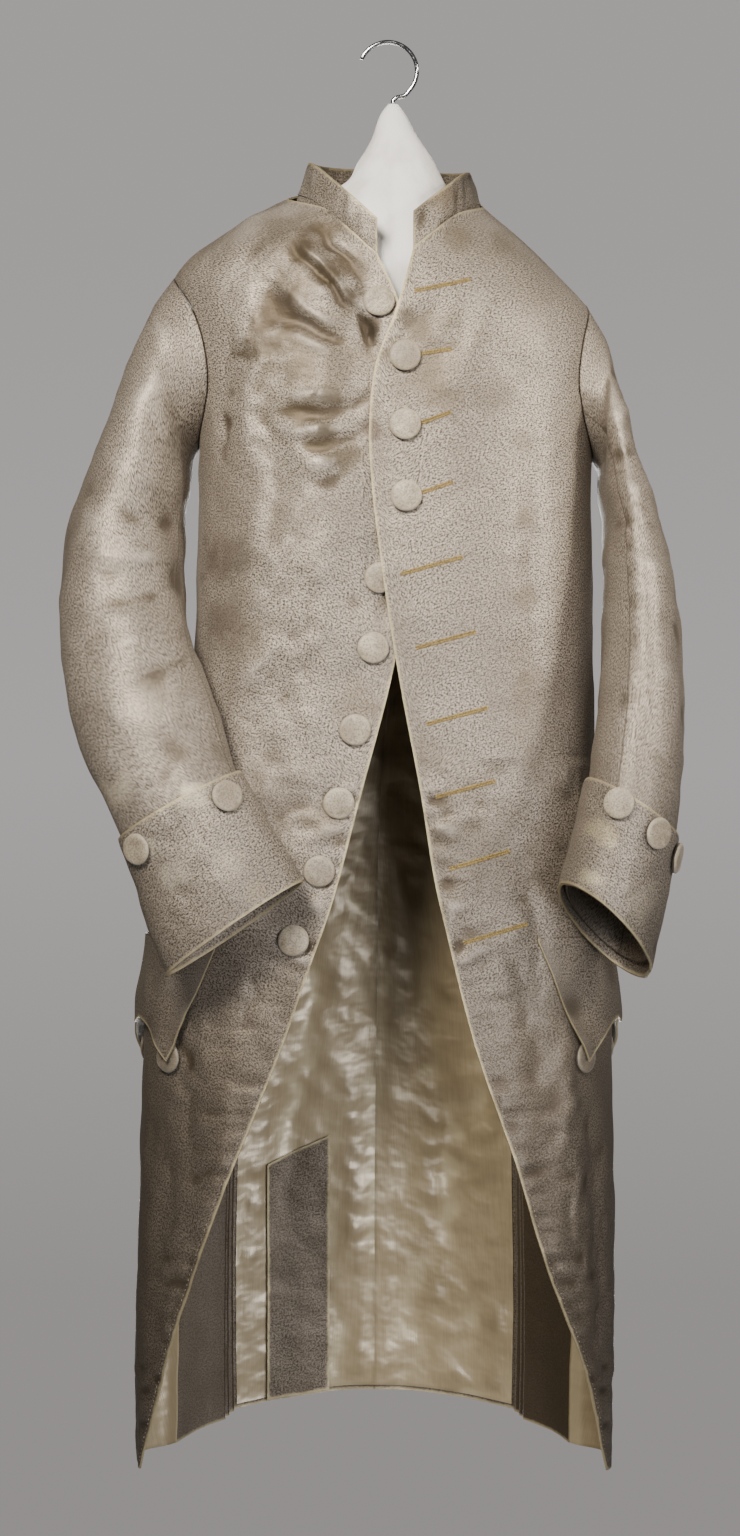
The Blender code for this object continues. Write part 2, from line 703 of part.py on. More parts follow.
def front_grid(side):
    """The front panel's (girth, height) grid, and which of its points exist."""
    rows = lower_rows(side, SHARES)
    armpit_row = rows[-1]
    turn = len(FRONT_SPACING) - 1
    edge_heights = front_edge_heights(side)
    edge = [(edge_girth(side, height), height) for height in edge_heights] + neckline_places(side)
    start = armhole_place(side, UNDERARM_START)
    valid = [[True] * len(armpit_row) for _ in rows]
    for n in range(1, UNDERARM_ROWS + ARMHOLE_ROWS + 1):
        first = edge[n - 1]
        if n <= UNDERARM_ROWS:
            share = n / UNDERARM_ROWS
            last = tuple(np.array(armpit_row[turn]) * (1 - share) + np.array(start) * share)
        else:
            last = armhole_place(side, UNDERARM_START * (1 - (n - UNDERARM_ROWS) / ARMHOLE_ROWS))
        row = [tuple(np.array(first) * (1 - u) + np.array(last) * u) for u in FRONT_SPACING]
        if n <= UNDERARM_ROWS:
            for m in range(1, UNDERARM_COLUMNS + 1):
                angle = UNDERARM_START + (SIDE_BACK_MEETS - UNDERARM_START) * m / UNDERARM_COLUMNS
                top = np.array(armhole_place(side, angle))
                row.append(tuple(np.array(armpit_row[turn + m]) * (1 - share) + top * share))
        else:
            row += [row[-1]] * UNDERARM_COLUMNS
        rows.append(row)
        valid.append([True] * (turn + 1) + [n <= UNDERARM_ROWS] * UNDERARM_COLUMNS)
    return np.array(rows), np.array(valid)


BACK_COLUMNS = 9
BACK_NECK_COLUMNS = 4


def back_grid(side):
    """The back panel's (girth, height) grid, from the middle of the back to the side-back seam."""
    rows = []
    for share in SHARES:
        height = FRONT_HEM + (ARMPIT_HEIGHT - FRONT_HEM) * share
        seam = side_back("girth", height)
        girths = [side * (1 + (seam - 1) * n / BACK_COLUMNS) for n in range(BACK_COLUMNS + 1)]
        rows.append([(girth, float(row_height(girth, share))) for girth in girths])
    count = UNDERARM_ROWS + ARMHOLE_ROWS
    neck = NECKS[side]
    neck_point = (body.side_girth(side, neck.shoulder_height), neck.shoulder_height)
    tip = armhole_place(side, 0)
    middle_top = (side * 1.0, BACK_NECK_HEIGHT)
    meets = np.array(armhole_place(side, SIDE_BACK_MEETS))
    shares = [n / BACK_NECK_COLUMNS for n in range(BACK_NECK_COLUMNS + 1)]
    top = [np.array(middle_top) + (np.array(neck_point) - middle_top) * s for s in shares]
    left = BACK_COLUMNS - BACK_NECK_COLUMNS
    top += [np.array(neck_point) + (np.array(tip) - neck_point) * (n + 1) / left for n in range(left)]
    spacing = [n / BACK_COLUMNS for n in range(BACK_COLUMNS + 1)]
    armpit = rows[-1]
    for n in range(1, count + 1):
        first = np.array([side * 1.0, ARMPIT_HEIGHT + (BACK_NECK_HEIGHT - ARMPIT_HEIGHT) * n / count])
        if n <= UNDERARM_ROWS:
            share = n / UNDERARM_ROWS
            last = np.array(armpit[-1]) * (1 - share) + meets * share
        else:
            turn = 2 * math.pi - SIDE_BACK_MEETS
            last = np.array(armhole_place(side, -turn * (1 - (n - UNDERARM_ROWS) / ARMHOLE_ROWS)))
        weight = (n / count) ** 1.5
        row = []
        for u, end in zip(spacing, top):
            straight = np.array(top[0]) * (1 - u) + np.array(top[-1]) * u
            row.append(tuple(first * (1 - u) + last * u + (end - straight) * weight))
        rows.append(row)
    return np.array(rows)


def add_lining(name, points, inward, valid, hem_rise):
    """A satin wall just inside a panel, made from the panel's own points up to the armpit."""
    rows = len(SHARES)
    points, inward, valid = points[:rows].copy(), inward[:rows], valid[:rows]
    share = hem_rise / (ROW_HEIGHTS[1] - ROW_HEIGHTS[0])
    points[0] += (points[1] - points[0]) * share
    outer = points + inward * (SILK + LINING_SPACE)
    add_wall(name, outer, outer + inward * SATIN, "satin", valid)


def make_front(side):
    places, valid = front_grid(side)
    girth, height = places[..., 0], places[..., 1]
    points = cloth_point(side, girth, height)
    inward = -body.normal(girth, height)
    pull_in(points[:, : len(FRONT_SPACING)], row=-1, inner=-2)
    sewn = slice(0, len(SHARES) + UNDERARM_ROWS)
    pull_in(points[sewn], col=-1, inner=-2)
    name = SIDE_NAMES[side]
    add_wall(f"front_{name}", points, points + inward * SILK, "silk", valid)
    first = FACING_COLUMNS
    lined = slice(first, None)
    lining = f"lining_front_{name}"
    add_lining(lining, points[:, lined], inward[:, lined], valid[:, lined], FRONT_LINING_HEM)


def make_back(side):
    places = back_grid(side)
    girth, height = places[..., 0], places[..., 1]
    points = cloth_point(side, girth, height)
    inward = -body.normal(girth, height)
    pull_in(points, col=0, inner=1)
    pull_in(points, row=-1, inner=-2)
    sewn = slice(0, len(SHARES) + UNDERARM_ROWS)
    pull_in(points[sewn], col=-1, inner=-2)
    name = SIDE_NAMES[side]
    add_wall(f"back_{name}", points, points + inward * SILK, "silk")
    valid = np.ones(girth.shape, bool)
    for row, level in enumerate(ROW_HEIGHTS[: HIP_ROW + 2]):
        reach = (side_back("depth", level) + PLEATS_CLEAR) / body.half_girth(side, level)
        limit = side_back("girth", level) + reach
        valid[row] = np.abs(girth[row]) > limit
        last = int(valid[row].sum())
        share = (limit - abs(girth[row, last - 1])) / (abs(girth[row, last]) - abs(girth[row, last - 1]))
        for grid in (points, inward):
            grid[row, last] = grid[row, last - 1] + (grid[row, last] - grid[row, last - 1]) * share
        valid[row, last] = True
    add_lining(f"lining_back_{name}", points, inward, valid, BACK_LINING_HEM)


def pleat_path(height):
    """The pleats seen from above: (distance forwards from the back panel's edge, depth below the surface)."""
    step_on, deep, layer = (side_back(name, height) for name in ("step", "depth", "layer"))
    middle = PLEAT_WALL / 2
    radius = layer / 2
    path = [(SEAM, middle)]
    for pleat in range(PLEATS):
        edge = 2 * SEAM + pleat * step_on
        top = middle + 2 * pleat * layer
        for angle in np.radians([90, 30, -30, -90]):
            path.append((edge + radius * math.cos(angle), top + radius - radius * math.sin(angle)))
        path.append((edge - deep / 2, top + layer))
        for angle in np.radians([90, 0, -90]):
            path.append((edge - deep - radius * math.cos(angle), top + 3 * radius - radius * math.sin(angle)))
        path.append((edge - deep / 2, top + 2 * layer))
    start = 2 * SEAM + (PLEATS - 1) * step_on + radius + 0.001
    bottom = middle + 2 * PLEATS * layer
    end = stack_width(height) - SEAM
    for along, up in ((0.0, 0.0), (0.30, 0.22), (0.70, 0.82), (0.90, 1.0), (1.0, 1.0)):
        path.append((start + (end - start) * along, bottom + (middle - bottom) * up))
    return path


def make_pleats(side):
    rows = []
    for share in SHARES[: HIP_ROW + 1]:
        level = FRONT_HEM + (ARMPIT_HEIGHT - FRONT_HEM) * share
        start = side_back("girth", level)
        span = body.half_girth(side, level)
        path = np.array(pleat_path(level))
        girth = side * (start - path[:, 0] / span)
        rows.append(cloth_point(side, girth, row_height(girth, share), -path[:, 1]))
    points = np.array(rows)
    normals = grid_normals(points)
    normals[:, -1] = normals[:, -2]
    half = normals * PLEAT_WALL / 2
    add_wall(f"pleats_{SIDE_NAMES[side]}", points + half, points - half, "silk")


def make_facing():
    """The strip of silk inside the right edge of the back vent."""
    columns, rows = 5, []
    shares = SHARES[:4]
    for share in shares:
        level = min(FRONT_HEM + (ARMPIT_HEIGHT - FRONT_HEM) * share, FACING_TOP)
        girths = np.linspace(*(body.girth_at(offset, level, back=True) for offset in FACING_OFFSETS), columns)
        heights = row_height(girths, row_share(level)) + (FACING_HEM if share == 0 else 0)
        if share == shares[-1]:
            heights = heights + np.linspace(0.0, FACING_SLANT, columns)
        rows.append(np.stack([girths, heights], axis=1))
    places = np.array(rows)
    down = -SILK - 2 * LINING_SPACE - SATIN - FACING_SPACE
    points = cloth_point(RIGHT, places[..., 0], places[..., 1], down)
    inward = -body.normal(places[..., 0], places[..., 1])
    add_wall("vent_facing", points, points + inward * SATIN, "silk")


# ---------------------------------------------------------------- collar, sleeves, cuffs and flaps


def neck_route():
    """Points of the whole neckline, from the right front corner round the back to the left one."""
    halves = {}
    for side in (RIGHT, LEFT):
        neck = NECKS[side]
        front = [(body.girth_at(neck.corner_offset, neck.corner_height), neck.corner_height)]
        front += neckline_places(side)
        shoulder = front[-1]
        behind = [
            (
                shoulder[0] + (side - shoulder[0]) * share,
                shoulder[1] + (BACK_NECK_HEIGHT - shoulder[1]) * share,
            )
            for share in (0.25, 0.5, 0.75)
        ]
        halves[side] = front + behind
    places = np.array(halves[RIGHT] + [(-1.0, BACK_NECK_HEIGHT)] + halves[LEFT][::-1])
    points = body.point(places[:, 0], places[:, 1])
    length = np.concatenate([[0], np.cumsum(np.linalg.norm(np.diff(points, axis=0), axis=1))])
    even = np.linspace(0, length[-1], 27)
    return np.stack([smooth(even, length, points[:, n]) for n in range(3)], axis=1)


def make_collar():
    base = neck_route()
    inward = (np.array([NECK_MIDDLE, 0.0, 0.0]) - base) * (1, 1, 0)
    inward /= np.linalg.norm(inward, axis=1, keepdims=True)
    behind = step(base[:, 1], COLLAR_LEAN_FROM, COLLAR_LEAN_FULL)[:, None]
    way = np.array([0, 0, 1.0]) + inward * COLLAR_LEAN * behind
    way /= np.linalg.norm(way, axis=1, keepdims=True)
    points = np.array([base + way * (SEAM + COLLAR_HEIGHT * share) for share in (0, 0.34, 0.67, 1)])
    add_wall("collar", points, points + inward * COLLAR_WALL, "silk")


def ring_point(ring, angle, grow=0.0):
    """A point of a sleeve's ring, by the angle from its outer point forwards."""
    outer, inner = np.array([ring.outer_x, 0, ring.outer_z]), np.array([ring.inner_x, 0, ring.inner_z])
    half = (outer - inner) / 2
    half *= 1 + grow / np.linalg.norm(half)
    deep = (ring.depth + grow) * np.array([0, -1, ring.slant])
    middle = (outer + inner) / 2 + np.array([0, ring.y, 0])
    return middle + half * math.cos(angle) + deep * math.sin(angle)


def round_angles():
    """The angles of a sleeve's sides. They are those of the panels' own points round the armhole."""
    fore = [UNDERARM_START * n / ARMHOLE_ROWS for n in range(ARMHOLE_ROWS)]
    under = np.linspace(UNDERARM_START, SIDE_BACK_MEETS, UNDERARM_COLUMNS + 1)
    hind = np.linspace(SIDE_BACK_MEETS, 2 * math.pi, ARMHOLE_ROWS + 1)[1:-1]
    return [*fore, *under, *hind]


def sleeve_grid(side):
    """The sleeve's outer face, from just inside the armhole's edge to just inside the cuff's end."""
    angles = round_angles()
    places = np.array([armhole_place(side, angle) for angle in angles])
    edge = body.point(places[:, 0], places[:, 1])
    normal = body.normal(places[:, 0], places[:, 1])
    way = edge.mean(axis=0) - edge
    way -= normal * np.sum(way * normal, axis=1, keepdims=True)
    way /= np.linalg.norm(way, axis=1, keepdims=True)
    rings = [edge + normal * SLEEVE_OUT + way * SLEEVE_IN]
    rings += [np.array([ring_point(ring, angle) for angle in angles]) for ring in SLEEVES[side]]
    for share, space in SLEEVE_IN_CUFF:
        rings.append(np.array([cuff_place(side, angle, share, -space) for angle in angles]))
    rings = np.array(rings)
    marks = np.arange(len(rings), dtype=float)
    rows = np.array([0, 0.35, 0.7, *range(1, len(rings))])
    sides = [
        np.stack([smooth(rows, marks, rings[:, n, axis]) for axis in range(3)], axis=1)
        for n in range(len(angles))
    ]
    return np.stack(sides, axis=1)


def make_sleeve(side):
    grid = sleeve_grid(side)
    normals = grid_normals(grid, round_about=True)
    middle = grid.mean(axis=1, keepdims=True)
    if np.sum(normals * (grid - middle)) < 0:
        normals = -normals
    sides = grid.shape[1]
    seam_front, seam_hind = SLEEVE_SEAMS[side]
    upper = [n % sides for n in range(seam_hind, sides + seam_front + 1)]
    under = list(range(seam_front, seam_hind + 1))
    for name, columns in (("upper", upper), ("under", under)):
        points = grid[:, columns].copy()
        pull_in(points, col=0, inner=1)
        pull_in(points, col=-1, inner=-2)
        inner = points - normals[:, columns] * SILK
        add_wall(f"sleeve_{name}_{SIDE_NAMES[side]}", points, inner, "silk")


def cuff_place(side, angle, share, grow=0.0):
    top, end = CUFFS[side]
    return ring_point(top, angle, grow) * (1 - share) + ring_point(end, angle, grow) * share


def make_cuff(side):
    shares = [row / CUFF_ROWS for row in range(CUFF_ROWS + 1)]
    outer, inner = (
        np.array([[cuff_place(side, angle, share, -space) for angle in round_angles()] for share in shares])
        for space in (0, CUFF_WALL)
    )
    add_wall(f"cuff_{SIDE_NAMES[side]}", outer, inner, "silk", round_about=True)


def flap_place(side, along, drop, out=0.0):
    start = body.girth_at(side * FLAP_START, FLAP_TOP)
    girth = start + side * along / float(body.half_girth(side, FLAP_TOP))
    height = FLAP_TOP - drop
    stand = FLAP_SPACE + SILK + FLAP_STAND * (drop / FLAP_DEPTH) ** 1.4
    place = np.array([girth]), np.array([height])
    return cloth_point(side, *place, stand + out)[0], body.normal(*place)[0]


def make_flap(side):
    places = [
        [flap_place(side, point.along, point.deep * row / FLAP_ROWS) for point in FLAP_SHAPE]
        for row in range(FLAP_ROWS + 1)
    ]
    points, normals = (np.array([[place[n] for place in row] for row in places]) for n in (0, 1))
    add_wall(f"flap_{SIDE_NAMES[side]}", points, points - normals * SILK, "silk")


# ---------------------------------------------------------------- buttons


def button_mesh():
    """A flat disc with a rounded rim, turned round its own axis, made once for all buttons."""
    rim = BUTTON_RADIUS
    profile = [
        (0, BUTTON_HEIGHT),
        (rim * 0.84, BUTTON_HEIGHT * 0.92),
        (rim, BUTTON_HEIGHT * 0.48),
        (rim * 0.88, 0),
        (0, 0),
    ]
    mesh = bpy.data.meshes.new("button_profile")
    mesh.from_pydata([(x, 0, z) for x, z in profile], [(n, n + 1) for n in range(len(profile) - 1)], [])
    guide = bpy.data.objects.new("button_turned", mesh)
    coat.objects.link(guide)
    turned = guide.modifiers.new("turned", "SCREW")
    turned.steps = turned.render_steps = BUTTON_SIDES
    turned.use_merge_vertices = True
    turned.merge_threshold = 0.00005
    bpy.context.view_layer.update()
    graph = bpy.context.evaluated_depsgraph_get()
    disc = bpy.data.meshes.new_from_object(guide.evaluated_get(graph))
    bpy.data.objects.remove(guide, do_unlink=True)
    disc.name = "button"
    face_outwards(disc)
    disc.shade_smooth()
    return disc


button = button_mesh()


def on_cloth(side, girth, height):
    """A point of the cloth, and which way it faces over a button's breadth."""
    reach = BUTTON_RADIUS * 0.8
    round_it = reach / float(body.half_girth(side, height))
    girths = np.array([girth, girth - round_it, girth + round_it, girth, girth])
    heights = height + np.array([0, 0, 0, -reach, reach])
    points = cloth_point(side, girths, heights)
    normal = np.cross(points[2] - points[1], points[4] - points[3])
    place = points[0] * 0.5 + points[1:].mean(axis=0) * 0.5
    return place, normal / np.linalg.norm(normal)


def add_button(name, place, normal):
    made = add_object(name, button, "button_silk")
    turn = Vector(normal).to_track_quat("Z", "Y").to_matrix().to_4x4()
    made.matrix_world = Matrix.Translation(Vector(place) + Vector(normal) * BUTTON_SPACE) @ turn


def make_buttons():
    for number, (height, offset, side) in enumerate(FRONT_BUTTONS, 1):
        add_button(f"button_front_{number:02d}", *on_cloth(side, body.girth_at(offset, height), height))
    for side, places in CUFF_BUTTONS.items():
        for number, (angle, share) in enumerate(places, 1):
            turn = math.radians(angle)
            here = cuff_place(side, turn, share)
            along = cuff_place(side, turn, share + 0.01) - here
            around = cuff_place(side, turn + 0.02, share) - here
            normal = np.cross(along, around) * side
            normal /= np.linalg.norm(normal)
            middle = (cuff_place(side, 0, share) + cuff_place(side, math.pi, share)) / 2
            if normal @ (here - middle) < 0:
                normal = -normal
            add_button(f"button_cuff_{SIDE_NAMES[side]}_{number}", here, normal)
    for side in (RIGHT, LEFT):
        for number, along in enumerate(FLAP_BUTTONS, 1):
            start = body.girth_at(side * FLAP_START, FLAP_TOP)
            girth = start + side * along / float(body.half_girth(side, FLAP_TOP))
            place, normal = on_cloth(side, girth, FLAP_TOP - FLAP_BUTTON_DROP)
            add_button(f"button_flap_{SIDE_NAMES[side]}_{number}", place, normal)
        level = ROW_HEIGHTS[HIP_ROW] + HIP_BUTTON_ABOVE
        girth = side * (side_back("girth", level) - HIP_BUTTON_AHEAD / body.half_girth(side, level))
        add_button(f"button_hip_{SIDE_NAMES[side]}", *on_cloth(side, float(girth), level))


# ---------------------------------------------------------------- hanger


def make_pad():
    """The padded shoulders of the hanger, with a soft cone up to the hook."""
    pad = Rings(PAD)
    levels = sorted(column(PAD, "height"))
    girths = np.linspace(-1, 1, PAD_SIDES + 1)[:-1]
    rings = [pad.point(girths, np.full(PAD_SIDES, level)) for level in levels]
    points = np.concatenate(rings).tolist()
    quads = []
    for row in range(len(rings) - 1):
        for n in range(PAD_SIDES):
            m = (n + 1) % PAD_SIDES
            low, high = row * PAD_SIDES, (row + 1) * PAD_SIDES
            quads.append((low + n, low + m, high + m, high + n))
    quads.append(tuple(range(PAD_SIDES)))
    quads.append(tuple(range(len(points) - PAD_SIDES, len(points))))
    mesh = bpy.data.meshes.new("hanger_pad")
    mesh.from_pydata(points, [], quads)
    face_outwards(mesh)
    mesh.shade_smooth()
    add_object("hanger_pad", mesh, "muslin")


def make_hook():
    """The hanger's wire hook: an arc over the rail, then down into the padding."""
    arc = [
        (HOOK_RADIUS * math.cos(angle), HOOK_RADIUS * (math.sin(angle) - 1) + HOOK_WIRE)
        for angle in np.linspace(HOOK_TIP, HOOK_TURN, 16)
    ]
    route = np.array(arc + list(HOOK_FOOT))
    length = np.concatenate([[0], np.cumsum(np.linalg.norm(np.diff(route, axis=0), axis=1))])
    even = np.linspace(0, length[-1], 24)
    path = [(float(smooth(s, length, route[:, 0])), 0.0, float(smooth(s, length, route[:, 1]))) for s in even]
    curve = bpy.data.curves.new("hanger_hook", "CURVE")
    curve.dimensions = "3D"
    curve.bevel_depth = HOOK_WIRE
    curve.bevel_resolution = 2
    curve.use_fill_caps = True
    spline = curve.splines.new("POLY")
    spline.points.add(len(path) - 1)
    for point, place in zip(spline.points, path):
        point.co = (*place, 1)
    add_object("hanger_hook", curve, "steel")


for wearer_side in (RIGHT, LEFT):
    make_front(wearer_side)
    make_back(wearer_side)
    make_pleats(wearer_side)
    make_sleeve(wearer_side)
    make_cuff(wearer_side)
    make_flap(wearer_side)
make_facing()
make_collar()
make_buttons()
make_pad()
make_hook()
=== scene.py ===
"""The looks of a silk frock coat with cut-away fronts, hung on a padded hanger.

Right and left are the wearer's: -X is the wearer's right, +X the left, -Y the front and +Z up. A
place on the coat's body is given by (girth, height): girth runs round one level ring, from 0 at the
middle of the front to 1 at the middle of the back on the left side, and to -1 on the right.
"""

import json
import logging
import math
from dataclasses import asdict, dataclass, field, replace
from enum import Enum, IntEnum
from functools import cached_property
from typing import Any

import bmesh
import bpy
import numpy as np
from bpy.types import Material, Mesh, Node, NodeSocket, NodeTree, Object
from mathutils import Matrix, Vector, kdtree

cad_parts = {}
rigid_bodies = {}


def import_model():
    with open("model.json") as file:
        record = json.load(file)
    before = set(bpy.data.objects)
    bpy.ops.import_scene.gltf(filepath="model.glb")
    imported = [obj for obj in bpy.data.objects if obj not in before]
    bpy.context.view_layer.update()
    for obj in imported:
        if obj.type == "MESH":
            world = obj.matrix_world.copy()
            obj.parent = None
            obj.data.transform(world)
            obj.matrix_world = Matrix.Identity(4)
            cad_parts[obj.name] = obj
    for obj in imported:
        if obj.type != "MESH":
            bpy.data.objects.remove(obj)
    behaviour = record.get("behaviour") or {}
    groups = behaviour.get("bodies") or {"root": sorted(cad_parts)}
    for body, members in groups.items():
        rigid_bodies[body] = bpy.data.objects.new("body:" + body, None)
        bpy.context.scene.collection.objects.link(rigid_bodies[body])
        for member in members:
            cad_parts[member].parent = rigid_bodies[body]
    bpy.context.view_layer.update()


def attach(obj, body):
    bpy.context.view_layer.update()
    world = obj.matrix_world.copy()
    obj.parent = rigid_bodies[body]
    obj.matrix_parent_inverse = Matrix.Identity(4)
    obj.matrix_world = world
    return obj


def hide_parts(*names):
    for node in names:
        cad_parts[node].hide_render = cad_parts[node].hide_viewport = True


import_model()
log = logging.getLogger("frock_coat")

SILK = 0.0016  # wall of the silk with its interlining
SATIN = 0.0010  # lining
SEAM = 0.0003  # clear space between the solids of pieces that are sewn together
CLOSED_SEAM = 0.00004  # clear space between the cloths there, drawn close
LINING_SPACE = 0.0006
RELIEF_FINE, RELIEF_ROUND = 1, 14  # times that a grid is evened for the small folds and the cloth round them
FULL_TURN = 2 * math.pi


class Side(IntEnum):
    """A side of the wearer, signed as X is."""

    RIGHT = -1
    LEFT = 1

    @property
    def word(self) -> str:
        """The side's name as the nodes have it."""
        return self.name.lower()


class Slot(Enum):
    """The record's material slots."""

    SILK = "silk"
    SATIN = "satin"
    BUTTON = "button_silk"
    MUSLIN = "muslin"
    STEEL = "steel"


# ---------------------------------------------------------------- cut and sizes


def from_mm(kind: Any, *rows: tuple[Any, ...], plain: int = 0) -> tuple[Any, ...]:
    """Makes a table's rows from sizes in millimetres.

    Args:
        kind: the rows' class, whose sizes are in metres.
        rows: each row's values.
        plain: how many values at a row's end aren't lengths.

    Returns:
        The rows.
    """
    return tuple(kind(*(v / 1000 for v in row[: len(row) - plain]), *row[len(row) - plain :]) for row in rows)


@dataclass(frozen=True)
class Section:
    """One level ring of the body. Power 2 is an ellipse, and more is squarer."""

    height: float
    middle: float
    right: float
    left: float
    front: float
    back: float
    power: float


BODY = from_mm(
    Section,
    (-1215, -11.8, 199.5, 199.5, 125, 140, 2.8),
    (-1100, -11.3, 202, 202, 127, 135, 2.8),
    (-985, -11.3, 201.3, 201.3, 127, 128, 2.8),
    (-880, -10.3, 199, 199, 126, 120, 2.8),
    (-770, -8.3, 196, 196, 124, 110, 2.8),
    (-700, -8.3, 188, 188, 122, 102, 2.8),
    (-630, -5.3, 179, 179, 120, 94, 2.8),
    (-560, 0.3, 172.5, 172.5, 120, 88, 2.8),
    (-500, 4.3, 168.5, 168.5, 122, 88, 2.8),
    (-440, 5.8, 167, 167, 122, 94, 2.8),
    (-380, 6.8, 165, 165, 118, 98, 2.8),
    (-340, 6.5, 167, 167, 116, 102, 2.7),
    (-300, 6.2, 172, 170, 114, 104, 2.6),
    (-260, 5.8, 181, 172, 111, 104, 2.5),
    (-230, 5.6, 186, 166, 107, 102, 2.4),
    (-200, 5.5, 186.6, 140, 101, 97, 2.3),
    (-165, 5, 148.4, 104.5, 90, 89, 2.2),
    (-145, 4.5, 116, 82, 80, 78, 2.1),
    (-135, 4.2, 94, 72.2, 74, 71, 2.1),
    (-125, 4, 71, 64, 68, 64, 2),
    plain=1,
)


@dataclass(frozen=True)
class EdgePoint:
    """A point of a front edge: how far it lies from the middle line, towards the wearer's left."""

    height: float
    offset: float


FRONT_EDGES = {
    Side.RIGHT: from_mm(
        EdgePoint,
        *((-1204, -197), (-1138, -180), (-1040, -150), (-969, -125), (-903, -100), (-840, -76.3)),
        *((-783, -57.5), (-724, -37), (-642, -17.8), (-580, -5.8), (-527, 2.7), (-445, 6.1)),
        *((-314, 6.5), (-229, 2.5), (-190, -14.9)),
    ),
    Side.LEFT: from_mm(
        EdgePoint,
        *((-1204, 195.1), (-1118, 174.2), (-1030, 142.5), (-941, 115.4), (-840, 79.5), (-724, 49.5)),
        *((-633, 31.1), (-556, 10.4), (-498, -3.2), (-441, -12.8), (-387, -20.3), (-332, -22.4)),
        *((-285, -17.1), (-236, 0.8), (-184, 15.5)),
    ),
}


@dataclass(frozen=True)
class Neck:
    """The neckline of one side: where it leaves the front edge, and where the shoulder seam starts."""

    corner_height: float
    corner_offset: float
    shoulder_height: float


NECKS = {Side.RIGHT: Neck(-0.190, -0.0149, -0.129), Side.LEFT: Neck(-0.184, 0.0155, -0.137)}
BACK_NECK_HEIGHT = -0.126


@dataclass(frozen=True)
class Armhole:
    """A round armhole about the side of the body, with its reach in height and in girth."""

    middle_height: float
    half_height: float
    half_girth: float


ARMHOLES = {Side.RIGHT: Armhole(-0.272, 0.073, 0.150), Side.LEFT: Armhole(-0.289, 0.067, 0.150)}
UNDERARM_START = math.radians(135)  # where the front's underarm part begins, from the top forwards
SIDE_BACK_MEETS = math.radians(245)  # where the side-back seam meets the armhole


@dataclass(frozen=True)
class SideBack:
    """The side-back seam: its girth, and the knife pleats that lie in it below the hip."""

    height: float
    step: float  # from one pleat's edge to the next
    depth: float  # how far each pleat folds under
    layer: float  # from one layer of cloth to the next
    girth: float


SIDE_BACK = from_mm(
    SideBack,
    (-1204, 8.0, 72, 4.0, 0.640),
    (-1000, 6.2, 55, 3.8, 0.668),
    (-800, 4.2, 34, 3.4, 0.705),
    (-620, 2.2, 13, 3.0, 0.738),
    (-500, 2.2, 13, 3.0, 0.730),
    (-380, 2.2, 13, 3.0, 0.700),
    plain=1,
)
PLEATS = 3
HEM_LAYER = 0.004  # the pleats' layer at the hem
PLEAT_RISE = 0.028  # the last layer's way back up to the front skirt there
PLEAT_WALL = 0.0014

ARMPIT_HEIGHT = -0.380  # above it the panels follow the armholes and the neck
HIP_HEIGHT = -0.620  # the pleats' top
FRONT_HEM = -1.204  # the height of the front tips
HEM_RISE = 0.040  # the back hem is this much higher than the front tips
TUCK_HEIGHTS = (-0.610, -0.545, -0.500, -0.478, -0.438, -0.395, -0.225, -0.190)
TUCK_DEPTHS = (0.0, 0.0034, 0.0036, 0.0082, 0.0082, 0.0036, 0.0032, 0.0)  # the right edge's, under the left
TUCK_START, TUCK_END = -0.066, -0.030  # offsets from the middle line


@dataclass(frozen=True)
class Crease:
    """A crease seen from the front: a soft ridge where height is over 0, or a trough."""

    x0: float
    z0: float
    x1: float
    z1: float
    width: float
    height: float
    bow: float = 0.0  # how far its middle bends to one side

    def read(self, x: np.ndarray, z: np.ndarray) -> np.ndarray:
        """How far the crease moves the cloth out at each point.

        Args:
            x: the points' X.
            z: the points' Z.

        Returns:
            The distances, under 0 inwards.
        """
        way = np.array([self.x1 - self.x0, self.z1 - self.z0])
        size = float(way @ way)
        along = np.clip(((x - self.x0) * way[0] + (z - self.z0) * way[1]) / size, 0, 1)
        length = math.sqrt(size)
        bend = self.bow * np.sin(math.pi * along)
        away = np.hypot(
            x - self.x0 - along * way[0] + bend * way[1] / length,
            z - self.z0 - along * way[1] - bend * way[0] / length,
        )
        fade = np.sin(math.pi * np.clip(along * 0.86 + 0.07, 0, 1))
        return self.height * fade * np.exp(-((away / self.width) ** 1.6))


FOLDS = {  # the broad folds that the coat's solids have too
    Side.RIGHT: from_mm(
        Crease,
        (-22, -250, -98, -178, 20, 4.5),
        (-30, -268, -110, -205, 18, -3.5),
        (-45, -305, -90, -345, 20, 3.0),
        (-90, -520, -120, -700, 24, -3.0),
        (-125, -850, -170, -1160, 24, 4.0),
    ),
    Side.LEFT: from_mm(
        Crease,
        (95, -215, 45, -315, 24, 3.0),
        (118, -300, 118, -590, 16, -2.8),
        (120, -820, 165, -1150, 24, 4.0),
    ),
}


@dataclass(frozen=True)
class SleeveRing:
    """One ring of a sleeve: its outer and inner points, and its half depth from front to back."""

    outer_x: float
    outer_z: float
    inner_x: float
    inner_z: float
    y: float
    depth: float
    slant: float  # how much lower the back is, for each metre of depth


